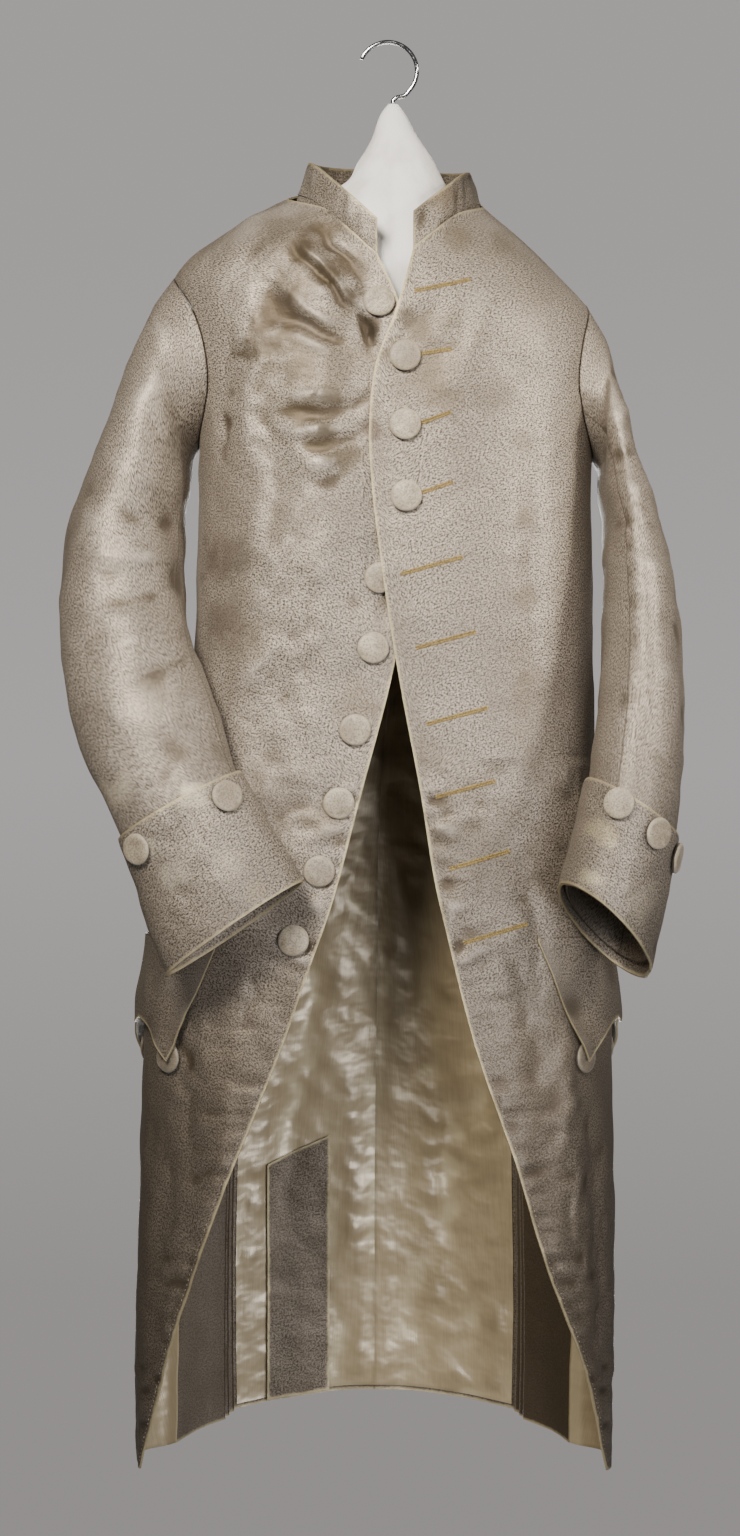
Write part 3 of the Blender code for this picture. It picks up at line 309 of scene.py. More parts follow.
SLEEVES = {
    Side.RIGHT: from_mm(
        SleeveRing,
        (-200, -226, -164, -352, -2, 71, 0.00),
        (-221, -271, -166, -362, -8, 76, 0.02),
        (-239, -325, -168, -379, -16, 79, 0.04),
        (-257, -374, -171, -399, -26, 75, 0.06),
        (-271, -415, -172, -428, -40, 68, 0.08),
        (-276, -467, -170, -462, -56, 60, 0.10),
        (-273, -509, -165, -499, -74, 53, 0.12),
        (-267, -551, -157, -528, -94, 46, 0.14),
        (-255, -597, -142, -566, -114, 39, 0.16),
        plain=1,
    ),
    Side.LEFT: from_mm(
        SleeveRing,
        (182, -248, 179, -366, -2, 68, 0.00),
        (190, -276, 179, -377, -8, 78, 0.02),
        (200, -310, 180, -388, -16, 84, 0.04),
        (212, -356, 181, -404, -26, 87, 0.06),
        (224, -399, 181, -426, -38, 86, 0.08),
        (234, -445, 180, -454, -52, 82, 0.10),
        (241, -492, 178, -488, -68, 77, 0.12),
        (243, -538, 176, -526, -86, 71, 0.14),
        (243, -580, 173, -563, -104, 65, 0.16),
        (240, -622, 168, -596, -122, 60, 0.14),
        plain=1,
    ),
}
CUFFS = {  # the turned-up edge, and the cuff's end at the wrist
    Side.RIGHT: from_mm(
        SleeveRing,
        (-221, -674, -120, -618, -136, 34.5, 0.18),
        (-182, -785, -70, -708, -152, 32, 0.18),
        plain=1,
    ),
    Side.LEFT: from_mm(
        SleeveRing,
        (237, -673, 160, -624, -137, 60, 0.14),
        (214, -782, 137, -714, -146, 57, 0.36),
        plain=1,
    ),
}
CUFF_WALL = 0.0022
SLEEVE_IN_CUFF = ((0.03, 0.0038), (0.50, 0.0058), (0.93, 0.0068))  # share of the cuff, space inside it
SLEEVE_SEAMS = {Side.RIGHT: (8, 15), Side.LEFT: (6, 15)}  # which sides the front and hind seams follow
SLEEVE_OUT, SLEEVE_IN = 0.0005, 0.0008  # the sleeve's start, out from the armhole's edge and into it

COLLAR_HEIGHT = 0.029
COLLAR_WALL = 0.0024
COLLAR_LEAN = 0.35  # how far the collar leans in towards the neck at its sides
COLLAR_TUCK, COLLAR_UNDER = 0.009, 0.0012  # how far it reaches down inside the neckline, and lies inside it

BUTTON_RADIUS, BUTTON_HEIGHT = 0.0130, 0.0050
BUTTON_SPACE = 0.0012  # clear of the cloth
FRONT_BUTTONS = (  # height, offset from the middle line, and the front that carries it
    (-0.2306, -0.0135, Side.RIGHT),
    (-0.2765, 0.0076, Side.LEFT),
    (-0.3331, 0.0071, Side.LEFT),
    (-0.3923, 0.0077, Side.LEFT),
    (-0.4589, -0.0124, Side.RIGHT),
    (-0.5170, -0.0161, Side.RIGHT),
    (-0.5842, -0.0259, Side.RIGHT),
    (-0.6441, -0.0350, Side.RIGHT),
    (-0.6998, -0.0489, Side.RIGHT),
    (-0.7572, -0.0693, Side.RIGHT),
)
CUFF_BUTTONS = {  # angle round the cuff from its outer edge forwards, and the share of its length
    Side.RIGHT: ((128, 0.16), (40, 0.16)),
    Side.LEFT: ((106, 0.12), (60, 0.15), (18, 0.18)),
}
LOST_BUTTON = (84, 0.16)  # the same, on the right cuff


@dataclass(frozen=True)
class FlapPoint:
    """A point of a flap's lower edge: how far along the flap it lies, and how deep."""

    along: float
    deep: float


FLAP_START = 0.1315  # the front top corner's offset from the middle line
FLAP_TOP = -0.755
FLAP_DEPTH = 0.098  # at its two tips
FLAP_SHAPE = from_mm(
    FlapPoint,
    *((0, 4), (20, 58), (37, 98), (64, 74), (86, 66), (108, 71)),
    *((130, 66), (152, 74), (179, 98), (196, 58), (212, 4)),
)
FLAP_TIPS = (2, 8)  # which of its points are the tips
FLAP_SPACE = 0.0012  # clear of the skirt along its top
FLAP_STAND = 0.0088  # how far its lower edge stands off the skirt
FLAP_BUTTONS = (0.042, 0.174)  # places along the flap
FLAP_BUTTON_DROP = 0.100
HIP_BUTTON_ABOVE, HIP_BUTTON_AHEAD = 0.012, 0.008  # of the pleats' top
FACING_OFFSETS = (-0.096, -0.040)  # the vent's facing, from the middle line
FACING_TOP = -0.985

PAD = from_mm(
    Section,
    (-51.5, 4.2, 4.5, 4.5, 4.5, 4.5, 2),
    (-56, 4.2, 8, 8, 7, 7, 2),
    (-78, 4.2, 18, 19, 15, 15, 2),
    (-100, 4.2, 31, 35, 26, 26, 2),
    (-120, 4.2, 41, 45, 36, 33, 2),
    (-140, 4.5, 74, 56, 52, 46, 2.1),
    (-165, 5, 125, 84, 68, 60, 2.2),
    (-190, 5.5, 160, 117, 82, 72, 2.3),
    (-215, 5.6, 166, 138, 84, 72, 2.4),
    (-240, 5.6, 158, 142, 80, 68, 2.4),
    (-258, 5.6, 135, 122, 64, 54, 2.3),
    (-266, 5.6, 90, 82, 40, 32, 2.2),
    plain=1,
)

HOOK_WIRE = 0.00175
HOOK_RADIUS = 0.0246  # of the wire's middle
HOOK_TIP, HOOK_TURN = math.radians(157), math.radians(-42)
HOOK_FOOT = ((0.0140, -0.0438), (0.0070, -0.0458), (0.0044, -0.0480), (0.0042, -0.0509))

UNDERARM_ROWS, ARMHOLE_ROWS = 2, 7  # rows of the solids above the armpit
TOP_ROWS = UNDERARM_ROWS + ARMHOLE_ROWS
NECK_ROWS = 3  # of the armhole rows, those that end on the neckline
UNDERARM_SHARE = 0.54
BACK_NECK_SHARE = 4 / 9  # of a back's width, its part of the neckline
UNDERARM_SIDES = 5
FACED_SHARE = 0.23  # of a front's first part, faced with the silk, so without a lining
PLEATS_CLEAR = 0.006  # from the pleats' inner folds to the back's lining
ROWS_IN_ONE = 7  # fine rows for each row of the solids above the armpit
LOW_ROWS = 206  # fine rows from the hem to the armpit
SEWN_ROWS = LOW_ROWS + 1 + UNDERARM_ROWS * ROWS_IN_ONE  # those that the side-back seam joins
UNDERLAY_COLUMNS = 13  # of the pleats' columns, those of the underlay, which the lining covers inside


# ---------------------------------------------------------------- smooth curves and surfaces


def smooth(place: Any, places: Any, values: Any) -> np.ndarray:
    """Reads a smooth curve through a table's values, with no overshoot at its ends.

    Args:
        place: where to read, a number or an array.
        places: the table's places, rising.
        values: the table's values.

    Returns:
        The values at place.
    """
    places, values = np.asarray(places, float), np.asarray(values, float)
    slopes = np.gradient(values, places)
    place = np.clip(place, places[0], places[-1])
    low = np.clip(np.searchsorted(places, place, side="right") - 1, 0, len(places) - 2)
    span = places[low + 1] - places[low]
    t = (place - places[low]) / span
    return (
        values[low] * (1 + 2 * t) * (1 - t) ** 2
        + slopes[low] * span * t * (1 - t) ** 2
        + values[low + 1] * t * t * (3 - 2 * t)
        + slopes[low + 1] * span * t * t * (t - 1)
    )


def step(value: Any, start: float, end: float) -> np.ndarray:
    """Rises smoothly from 0 before start to 1 after end."""
    t = np.clip((value - start) / (end - start), 0, 1)
    return t * t * (3 - 2 * t)


def column(rows: Any, name: str) -> list[float]:
    """One named column of a table."""
    return [getattr(row, name) for row in rows]


def unit(ways: np.ndarray) -> np.ndarray:
    """The directions at length 1."""
    return ways / np.maximum(np.linalg.norm(ways, axis=-1, keepdims=True), 1e-12)


def lengths_along(points: np.ndarray, axis: int) -> np.ndarray:
    """The distance walked to each point of a grid from its first row (axis 0) or column (axis 1)."""
    steps = np.linalg.norm(np.diff(points, axis=axis), axis=-1)
    start = np.zeros_like(steps[:1] if axis == 0 else steps[:, :1])
    return np.cumsum(np.concatenate([start, steps], axis=axis), axis=axis)


def grid_normals(points: np.ndarray, round_about: bool = False) -> np.ndarray:
    """Works out unit normals of a grid of points, smooth over the whole grid.

    Args:
        points: the grid, rows by columns by 3.
        round_about: whether the last column meets the first.

    Returns:
        A normal for each point.
    """
    up = np.gradient(points, axis=0)
    if round_about:
        along = np.roll(points, -1, axis=1) - np.roll(points, 1, axis=1)
    else:
        along = np.gradient(points, axis=1)
    return unit(np.cross(along, up))


class Rings:
    """A closed surface of level rings, read at any (girth, height)."""

    LEVELS, AROUND = 420, 180

    def __init__(self, sections: tuple[Section, ...]) -> None:
        """Lays out the rings.

        Args:
            sections: the level rings that the surface runs through.
        """
        rows = sorted(sections, key=lambda row: row.height)
        marks = column(rows, "height")
        self.low, self.high = marks[0], marks[-1]
        self.heights = np.linspace(self.low, self.high, self.LEVELS)
        names = ("middle", "right", "left", "front", "back", "power")
        self.sizes = {name: smooth(self.heights, marks, column(rows, name)) for name in names}
        self.around = np.linspace(-1, 1, 2 * self.AROUND + 1)
        self.half_girths = np.empty((self.LEVELS, 2))
        self.places = np.array([self.ring(level) for level in range(self.LEVELS)])
        self.normals = grid_normals(self.places)

    def ring(self, level: int) -> np.ndarray:
        """The points of one level ring, evenly spaced on each half.

        Args:
            level: the ring's number.

        Returns:
            The points, all the way round.
        """
        size = {name: values[level] for name, values in self.sizes.items()}
        halves = []
        for index, side in enumerate(Side):
            angle = np.linspace(0, math.pi, 4 * self.AROUND)
            wide = size[side.word]
            deep = np.where(angle < math.pi / 2, size["front"], size["back"])
            across, along = np.abs(np.sin(angle)) / wide, np.abs(np.cos(angle)) / deep
            reach = (across ** size["power"] + along ** size["power"]) ** (-1 / size["power"])
            x, y = side * reach * np.sin(angle), -reach * np.cos(angle)
            length = np.concatenate([[0], np.cumsum(np.hypot(np.diff(x), np.diff(y)))])
            self.half_girths[level, index] = length[-1]
            even = np.linspace(0, length[-1], self.AROUND + 1)
            halves.append((np.interp(even, length, x), np.interp(even, length, y)))
        x = np.concatenate([halves[0][0][::-1], halves[1][0][1:]]) + size["middle"]
        y = np.concatenate([halves[0][1][::-1], halves[1][1][1:]])
        return np.stack([x, y, np.full(len(x), self.heights[level])], axis=1)

    def read(self, table: np.ndarray, girth: Any, height: Any) -> np.ndarray:
        """Reads a table of the surface between its points.

        Args:
            table: the table.
            girth: the points' girths.
            height: the points' heights.

        Returns:
            A value or vector for each point.
        """
        girth, height = np.broadcast_arrays(np.asarray(girth, float), np.asarray(height, float))
        row = np.clip((height - self.low) / (self.high - self.low), 0, 1) * (self.LEVELS - 1)
        col = np.clip((girth + 1) / 2, 0, 1) * (2 * self.AROUND)
        i = np.minimum(row.astype(int), self.LEVELS - 2)
        j = np.minimum(col.astype(int), 2 * self.AROUND - 1)
        u, v = (row - i)[..., None], (col - j)[..., None]
        below = table[i, j] * (1 - v) + table[i, j + 1] * v
        above = table[i + 1, j] * (1 - v) + table[i + 1, j + 1] * v
        return below * (1 - u) + above * u

    def point(self, girth: Any, height: Any) -> np.ndarray:
        """The surface's point at a place."""
        return self.read(self.places, girth, height)

    def normal(self, girth: Any, height: Any) -> np.ndarray:
        """The way out of the surface at a place."""
        return unit(self.read(self.normals, girth, height))

    def half_girth(self, side: int, height: Any) -> Any:
        """The length of half a ring, from the middle of the front to the middle of the back."""
        return np.interp(height, self.heights, self.half_girths[:, (side + 1) // 2])

    def middle(self, height: Any) -> Any:
        """The X of the middle line at a height."""
        return np.interp(height, self.heights, self.sizes["middle"])

    def girth_at(self, offset: float, height: float, back: bool = False) -> float:
        """Finds the girth of the point that lies this far from the middle line.

        Args:
            offset: the distance from the middle line, towards the wearer's left.
            height: the ring's height.
            back: whether the point lies behind.

        Returns:
            The girth.
        """
        x = self.point(self.around, float(height))[:, 0] - self.middle(height)
        first, last = int(np.argmin(x)), int(np.argmax(x))
        if not back:
            return float(np.interp(offset, x[first : last + 1], self.around[first : last + 1]))
        part = slice(last, None) if offset > 0 else slice(0, first + 1)
        order = np.argsort(x[part])
        return float(np.interp(offset, x[part][order], self.around[part][order]))

    def side_girth(self, side: int, height: float) -> float:
        """The girth of the outermost point of a side."""
        around = np.linspace(0, 1, self.AROUND + 1)
        x = self.point(side * around, float(height))[:, 0] * side
        return side * float(around[np.argmax(x)])


def blurred(grid: np.ndarray, times: int, round_about: bool = False) -> np.ndarray:
    """Evens out a grid.

    Args:
        grid: values or points by row and column.
        times: how many times each one is averaged with its neighbours.
        round_about: whether the last column meets the first.

    Returns:
        The evened grid.
    """
    grid = grid.copy()
    for _ in range(times):
        for axis in (0, 1):
            before, after = np.roll(grid, 1, axis), np.roll(grid, -1, axis)
            if axis == 0 or not round_about:
                ends = (slice(None),) * axis
                before[(*ends, 0)], after[(*ends, -1)] = grid[(*ends, 0)], grid[(*ends, -1)]
            grid = (before + 2 * grid + after) / 4
    return grid


class Unevenness:
    """A soft random field made of plane waves, the same in each run."""

    def __init__(self, length: float, seed: int, waves: int = 14, stretch: float = 1.0) -> None:
        """Draws the waves.

        Args:
            length: the usual distance from one rise to the next, in metres.
            seed: the seed of the draw.
            waves: how many waves are summed.
            stretch: how many times longer the rises are upright than across.
        """
        draw = np.random.default_rng(seed)
        way = draw.normal(size=(waves, 3))
        way[:, 2] /= stretch
        self.ways = way * (2 * math.pi / length / 1.6)
        self.phases = draw.uniform(0, 2 * math.pi, waves)
        self.scale = math.sqrt(2 / waves)

    def read(self, points: np.ndarray) -> np.ndarray:
        """The field at the points, mostly from -1 to 1."""
        return np.sin(points @ self.ways.T + self.phases).sum(axis=-1) * self.scale * 0.7


def turns(count: int) -> np.ndarray:
    """Even angles round a full turn."""
    return np.linspace(0, FULL_TURN, count + 1)[:-1]


def between(first: np.ndarray, last: np.ndarray, shares: Any) -> np.ndarray:
    """Places on the way from first to last, one for each share."""
    shares = np.asarray(shares, float)[..., None]
    return first * (1 - shares) + last * shares


def even_route(points: np.ndarray, count: int) -> np.ndarray:
    """Points evenly spaced on a smooth line through others."""
    length = lengths_along(points[:, None], 0)[:, 0]
    even = np.linspace(0, length[-1], count)
    return np.stack([smooth(even, length, row) for row in points.T], axis=1)


def creased(rows: tuple[Crease, ...], x: np.ndarray, z: np.ndarray, weight: np.ndarray) -> np.ndarray:
    """How far a table's creases move the cloth out at each point."""
    return sum(crease.read(x, z) * weight for crease in rows)


# ---------------------------------------------------------------- creases

# each row: x0, z0, x1, z1, width, height and bow in millimetres
FRONT_CREASES = {
    Side.RIGHT: from_mm(
        Crease,
        (-12, -251, -80, -185, 6, -5.6, 4), (-20, -234, -75, -173, 5.5, 4.6, 4),
        (-6, -221, -58, -163, 4.6, -4.4, 3), (-4, -208, -47, -158, 4.2, 3, 2),
        (-32, -198, -68, -150, 4.2, -2.6, 2), (-22, -257, -98, -209, 6.5, 5, 4),
        (-30, -267, -104, -231, 6.5, -3.8, 5), (-22, -274, -86, -254, 5.5, 3.2, 4),
        (-12, -271, -19, -242, 5.5, -6.5, 0), (-36, -229, -55, -205, 4, -2.4, 0),
        (-19, -299, -83, -307, 6, 3.6, 6), (-17, -311, -93, -321, 5, -4.4, 7),
        (-19, -323, -83, -335, 5, 4, 7), (-22, -337, -75, -350, 5.5, -4.2, 6),
        (-27, -351, -76, -366, 7, 3.6, 7), (-30, -370, -73, -383, 8, -2.6, 6),
        (-48, -315, -88, -345, 5, -2.2, -3), (-113, -229, -118, -345, 11, 3.2, 6),
        (-131, -254, -129, -378, 9, -3.4, -6), (-104, -295, -99, -411, 10, -2.6, 5),
        (-73, -394, -129, -510, 13, 2.8, 8), (-55, -444, -114, -559, 12, -2.6, 8),
        (-35, -411, -73, -477, 10, 2.2, 5), (-114, -592, -48, -518, 12, -2.8, 7),
        (-129, -559, -73, -510, 9, 2.4, 5), (-137, -675, -73, -609, 11, 2.6, 7),
        (-114, -691, -58, -642, 9, -2.4, 5), (-164, -790, -156, -906, 12, 3.2, 7),
        (-175, -815, -170, -972, 11, -3.6, 7), (-129, -856, -159, -1005, 13, 3.4, 8),
        (-189, -906, -190, -1079, 11, -3.4, 7), (-174, -955, -177, -1120, 12, 3.4, -6),
        (-108, -774, -129, -840, 9, -2.6, 5), (-142, -931, -159, -1021, 10, -2.8, 6),
    ),
    Side.LEFT: from_mm(
        Crease,
        (4, -247, 44, -218, 4.6, 4.6, 2), (8, -261, 51, -229, 4.8, -4.8, 3),
        (13, -272, 67, -239, 5, 3.2, 3), (19, -267, 36, -254, 4, -2.6, 0), (26, -280, 77, -267, 5, -3.2, 3),
        (26, -290, 74, -289, 5, 2.8, 3), (26, -302, 67, -310, 5.5, -2.8, -3),
        (29, -341, 80, -322, 5.5, -3.2, 4), (29, -353, 92, -341, 5.5, 2.8, 4),
        (99, -218, 42, -337, 14, 5.2, 8), (72, -226, 29, -299, 10, -4.4, 6),
        (115, -254, 61, -370, 12, -4, 8), (129, -221, 108, -295, 10, 3.2, 5),
        (114, -312, 113, -596, 7, -3.8, 4), (126, -312, 125, -576, 10, 3, 5),
        (102, -337, 100, -510, 10, 2.4, 4), (146, -312, 143, -444, 9, -2.8, 4),
        (34, -403, 102, -384, 8, -2.4, 5), (34, -417, 92, -411, 7, 2, 4),
        (42, -469, 108, -444, 10, -2.4, 6), (67, -510, 141, -477, 11, 2.4, 6),
        (92, -576, 158, -551, 10, -2.6, 6), (141, -592, 155, -724, 12, 3.6, 8),
        (108, -691, 125, -815, 10, -2.8, 7), (132, -807, 146, -939, 12, 3.2, 8),
        (92, -749, 125, -889, 11, -3, 8), (153, -873, 171, -1079, 11, 3.8, -8),
        (166, -889, 174, -1120, 9, -3.4, 6), (138, -939, 158, -1087, 10, -2.8, 6),
    ),
}
BACK_CREASES = {
    Side.RIGHT: from_mm(
        Crease,
        (-30, -150, -110, -210, 12, 2.6, 8), (-125, -230, -70, -340, 13, -3.1, 9),
        (-105, -300, -80, -430, 12, 2.9, 7), (-90, -520, -25, -560, 9, 2.4, 6),
        (-95, -560, -30, -585, 8, -2.6, 5), (-90, -585, -35, -605, 8, 2, 5),
        (-70, -680, -90, -960, 15, 3.4, 10), (-35, -780, -45, -1120, 14, -3.1, 9),
    ),
    Side.LEFT: from_mm(
        Crease,
        (35, -155, 100, -205, 12, -2.3, 8), (120, -250, 75, -350, 13, 2.9, 9),
        (110, -340, 90, -450, 12, -2.6, 7), (95, -535, 28, -555, 9, -2.4, 6),
        (90, -570, 35, -600, 8, 2.6, 5), (85, -600, 35, -615, 8, -2, 5),
        (75, -700, 98, -1000, 15, -3.1, 10), (40, -820, 48, -1140, 14, 3.1, 9),
    ),
}
SLEEVE_CREASES = {
    Side.RIGHT: from_mm(
        Crease,
        (-164, -367, -207, -301, 11, -2.2, 6), (-167, -392, -231, -352, 10, 2.2, 7),
        (-169, -415, -244, -392, 9, -2.5, 6), (-168, -438, -256, -435, 9, 2.4, 6),
        (-166, -462, -252, -480, 8, -2.4, 6), (-161, -485, -244, -519, 8, 2.2, 6),
        (-154, -514, -232, -554, 9, -1.9, 6), (-144, -550, -216, -592, 9, 1.6, 5),
        (-224, -308, -259, -442, 12, 1.8, 8), (-199, -509, -182, -625, 12, -1.7, 7),
        (-182, -250, -216, -325, 11, 1.7, 6), (-157, -584, -199, -642, 9, -1.4, 5),
        (-131, -613, -166, -642, 7, 1.3, 4),
    ),
    Side.LEFT: from_mm(
        Crease,
        (172, -308, 198, -280, 9, -1.9, 5), (173, -342, 210, -316, 9, 1.8, 6),
        (174, -367, 220, -352, 8, -2.1, 5), (174, -392, 227, -387, 8, 1.9, 5),
        (175, -417, 234, -423, 8, -2, 5), (175, -443, 240, -462, 8, 1.8, 5),
        (177, -472, 244, -509, 9, -1.5, 5), (177, -542, 240, -559, 10, 1.2, 5),
        (210, -342, 227, -442, 10, 1.4, 5), (195, -492, 202, -609, 10, -1.3, 6),
        (227, -517, 230, -625, 9, 1.3, 5),
    ),
}


@dataclass
class CoatForm:
    """The coat's body: its surface, the lines that the pieces are cut along, and its soft creases."""

    body: Rings
    notch_height: float = 0.016  # above the pleats, where the side seam closes again
    pucker_depth: float = 0.0023
    pucker_spacing: float = 0.0165
    pucker_reach: float = 0.048
    swell_depth: float = 0.0014
    ripple_depth: float = 0.0006
    wander_reach: float = 0.0035  # how far the fine creases stray from their lines
    still_reach: float = 0.030  # from a sewn seam to where the cloth moves freely
    swell: Unevenness = Unevenness(0.120, 3, stretch=2.2)
    ripple: Unevenness = Unevenness(0.034, 5, stretch=1.4)
    shift: Unevenness = Unevenness(0.090, 8)
    drawn: Unevenness = Unevenness(0.050, 12, stretch=0.36)
    wander: tuple[Unevenness, Unevenness] = (Unevenness(0.030, 9), Unevenness(0.030, 10))
    seams: kdtree.KDTree = field(init=False)
    edge_levels: np.ndarray = field(init=False)
    edge_girths: dict[int, np.ndarray] = field(init=False)

    def __post_init__(self) -> None:
        """Collects the seams where the cloth lies still, and the front edges that it puckers along."""
        still = [self.neck_route(60)]
        for side in Side:
            places = np.array([self.armhole_place(side, angle) for angle in np.linspace(0, FULL_TURN, 61)])
            still.append(self.body.point(places[:, 0], places[:, 1]))
        still = np.concatenate(still)
        self.seams = kdtree.KDTree(len(still))
        for number, point in enumerate(still):
            self.seams.insert(point, number)
        self.seams.balance()
        self.edge_levels = np.linspace(-1.21, -0.15, 90)
        self.edge_girths = {
            side: np.array([self.edge_girth(side, level) for level in self.edge_levels]) for side in Side
        }

    # ------------------------------------------------------------ cut lines

    def edge_girth(self, side: int, height: float) -> float:
        """The girth of a front edge at a height."""
        rows = FRONT_EDGES[side]
        offset = float(smooth(height, column(rows, "height"), column(rows, "offset")))
        return self.body.girth_at(offset, height)

    def row_height(self, girth: Any, share: float) -> Any:
        """The height of a row at a girth: the rows level out from the hem to the armpit."""
        hem = FRONT_HEM + HEM_RISE * step(np.abs(girth), 0.48, 1.0)
        return hem + (ARMPIT_HEIGHT - hem) * share

    def level(self, share: float) -> float:
        """The height that a row's sizes are read at."""
        return FRONT_HEM + (ARMPIT_HEIGHT - FRONT_HEM) * share

    def side_back(self, name: str, height: float) -> float:
        """One size of the side-back seam and its pleats at a height."""
        return float(smooth(height, column(SIDE_BACK, "height"), column(SIDE_BACK, name)))

    def stack_width(self, height: float) -> float:
        """How far the pleats' edges reach along the ring, forwards from the back panel's edge."""
        layer = self.side_back("layer", height)
        return PLEATS * self.side_back("step", height) + PLEAT_RISE * layer / HEM_LAYER

    def armhole_place(self, side: int, angle: float) -> tuple[float, float]:
        """Works out a place on the armhole's edge.

        Args:
            side: the wearer's side.
            angle: the angle from its top forwards.

        Returns:
            The (girth, height) pair.
        """
        hole = ARMHOLES[side]
        middle = abs(self.body.side_girth(side, hole.middle_height))
        height = hole.middle_height + hole.half_height * math.cos(angle)
        top = abs(self.body.side_girth(side, height))
        girth = middle + (top - middle) * (1 + math.cos(angle)) / 2 - hole.half_girth * math.sin(angle)
        return side * girth, height

    def neckline_place(self, side: int, number: int) -> tuple[float, float]:
        """Works out one of the neckline's places.

        Args:
            side: the wearer's side.
            number: its number, from 0 at the front corner to the shoulder.

        Returns:
            The (girth, height) pair.
        """
        neck = NECKS[side]
        if number == NECK_ROWS:
            return self.body.side_girth(side, neck.shoulder_height), neck.shoulder_height
        if number == 0:
            return self.body.girth_at(neck.corner_offset, neck.corner_height), neck.corner_height
        share = number / NECK_ROWS
        height = neck.corner_height + (neck.shoulder_height - neck.corner_height) * share
        ring = self.body.point(np.linspace(-1, 1, 721), height)
        reach = np.abs(ring[:, 0] - self.body.middle(height))[ring[:, 0] * side > 0].max()
        shoulder = np.interp(neck.shoulder_height, self.body.heights, self.body.sizes[side.word])
        corner = abs(neck.corner_offset)
        return self.body.girth_at(side * min(corner + (shoulder - corner) * share, reach), height), height

    def neck_route(self, count: int) -> np.ndarray:
        """Follows the whole neckline, from the right front corner round the back to the left one.

        Args:
            count: how many points to give.

        Returns:
            The points, evenly spaced.
        """
        halves = []
        for side in Side:
            front = [self.neckline_place(side, number) for number in range(NECK_ROWS + 1)]
            girth, height = front[-1]
            for share in (0.25, 0.5, 0.75):
                front.append((girth + (side - girth) * share, height + (BACK_NECK_HEIGHT - height) * share))
            halves.append(front)
        places = np.array(halves[0] + [(-1.0, BACK_NECK_HEIGHT)] + halves[1][::-1])
        return even_route(self.body.point(places[:, 0], places[:, 1]), count)

    # ------------------------------------------------------------ creases

    def tuck(self, point: np.ndarray, height: np.ndarray) -> tuple[np.ndarray, np.ndarray]:
        """How far the right front's edge lies under the left one, and how near each point is to it."""
        offset = point[..., 0] - self.body.middle(height)
        near = step(offset, TUCK_START, TUCK_END) * (point[..., 1] < 0)
        return np.interp(height, TUCK_HEIGHTS, TUCK_DEPTHS) * near, near * (height > TUCK_HEIGHTS[0])

    def fine_creases(self, side: int, point: np.ndarray, in_front: np.ndarray) -> np.ndarray:
        """The smaller creases, in front and behind."""
        x, z = (point[..., n] + self.wander[n // 2].read(point) * self.wander_reach for n in (0, 2))
        return creased(FRONT_CREASES[side], x, z, in_front) + creased(BACK_CREASES[side], x, z, 1 - in_front)

    def puckers(self, side: int, girth: np.ndarray, height: np.ndarray) -> np.ndarray:
        """The small level puckers along a cut-away front edge, where its facing has drawn up.

        Args:
            side: the wearer's side.
            girth: the points' girths.
            height: the points' heights.

        Returns:
            How far they move the cloth out.
        """
        edge = np.interp(height, self.edge_levels, self.edge_girths[side])
        away = (girth - edge) * side * self.body.half_girth(side, height)
        shift = self.shift.read(np.stack([away * 0.3, away * 0, height], axis=-1))
        strong = 0.55 + 0.45 * self.shift.read(np.stack([away * 0, height * 0.6, height * 0.8 + 3], axis=-1))
        wave = 0.55 * np.cos((height - away * 0.16) / self.pucker_spacing * FULL_TURN + 4 * shift)
        wave = wave + 0.75 * self.drawn.read(np.stack([away, away * 0, height], axis=-1))
        where = step(-height, 0.50, 0.66) * step(height, -1.205, -1.15)
        fade = np.exp(-np.maximum(away - 0.006, 0) / self.pucker_reach * 1.4) * step(away, -0.002, 0.010)
        return self.pucker_depth * wave * strong * where * fade

    def calm(self, points: np.ndarray) -> np.ndarray:
        """0 on the armholes and the neckline, where pieces are sewn together, and 1 away from them."""
        away = np.array([self.seams.find(point)[2] for point in points.reshape(-1, 3)])
        return step(away, 0.002, self.still_reach).reshape(points.shape[:-1])

    def cloth_point(self, side: int, girth: Any, height: Any, out: Any = 0.0) -> np.ndarray:
        """Works out points of the body's cloth.

        Args:
            side: the panel's side.
            girth: the points' girths.
            height: the points' heights.
            out: how far to move each point out from the cloth's outer face.

        Returns:
            The points.
        """
        girth, height = np.broadcast_arrays(np.asarray(girth, float), np.asarray(height, float))
        point, normal = self.body.point(girth, height), self.body.normal(girth, height)
        in_front = step(-point[..., 1], 0.0, 0.04)
        fine = self.fine_creases(side, point, in_front) + self.puckers(side, girth, height)
        fine += self.swell.read(point) * self.swell_depth + self.ripple.read(point) * self.ripple_depth
        fine *= self.calm(point)
        moved = creased(FOLDS[side], point[..., 0], point[..., 2], in_front)
        depth, near = self.tuck(point, height)
        if side == Side.RIGHT:
            moved = moved - depth
            fine = np.minimum(fine, 0) + np.maximum(fine, 0) * (1 - near)
        else:
            fine = fine * (1 - 0.8 * near)
        return point + normal * (moved + fine + out)[..., None]

    def on_cloth(self, side: int, girth: float, height: float, reach: float) -> tuple[np.ndarray, np.ndarray]:
        """Finds where something of a small breadth lies on the cloth.

        Args:
            side: the panel's side.
            girth: the place's girth.
            height: the place's height.
            reach: half of the thing's breadth.

        Returns:
            The point under its middle, and the way that the cloth faces there.
        """
        round_it = reach / float(self.body.half_girth(side, height))
        girths = np.array([girth, girth - round_it, girth + round_it, girth, girth])
        points = self.cloth_point(side, girths, height + np.array([0, 0, 0, -reach, reach]))
        normal = unit(np.cross(points[2] - points[1], points[4] - points[3]))
        return points[0] * 0.5 + points[1:].mean(axis=0) * 0.5, normal

    # ------------------------------------------------------------ the panels' places

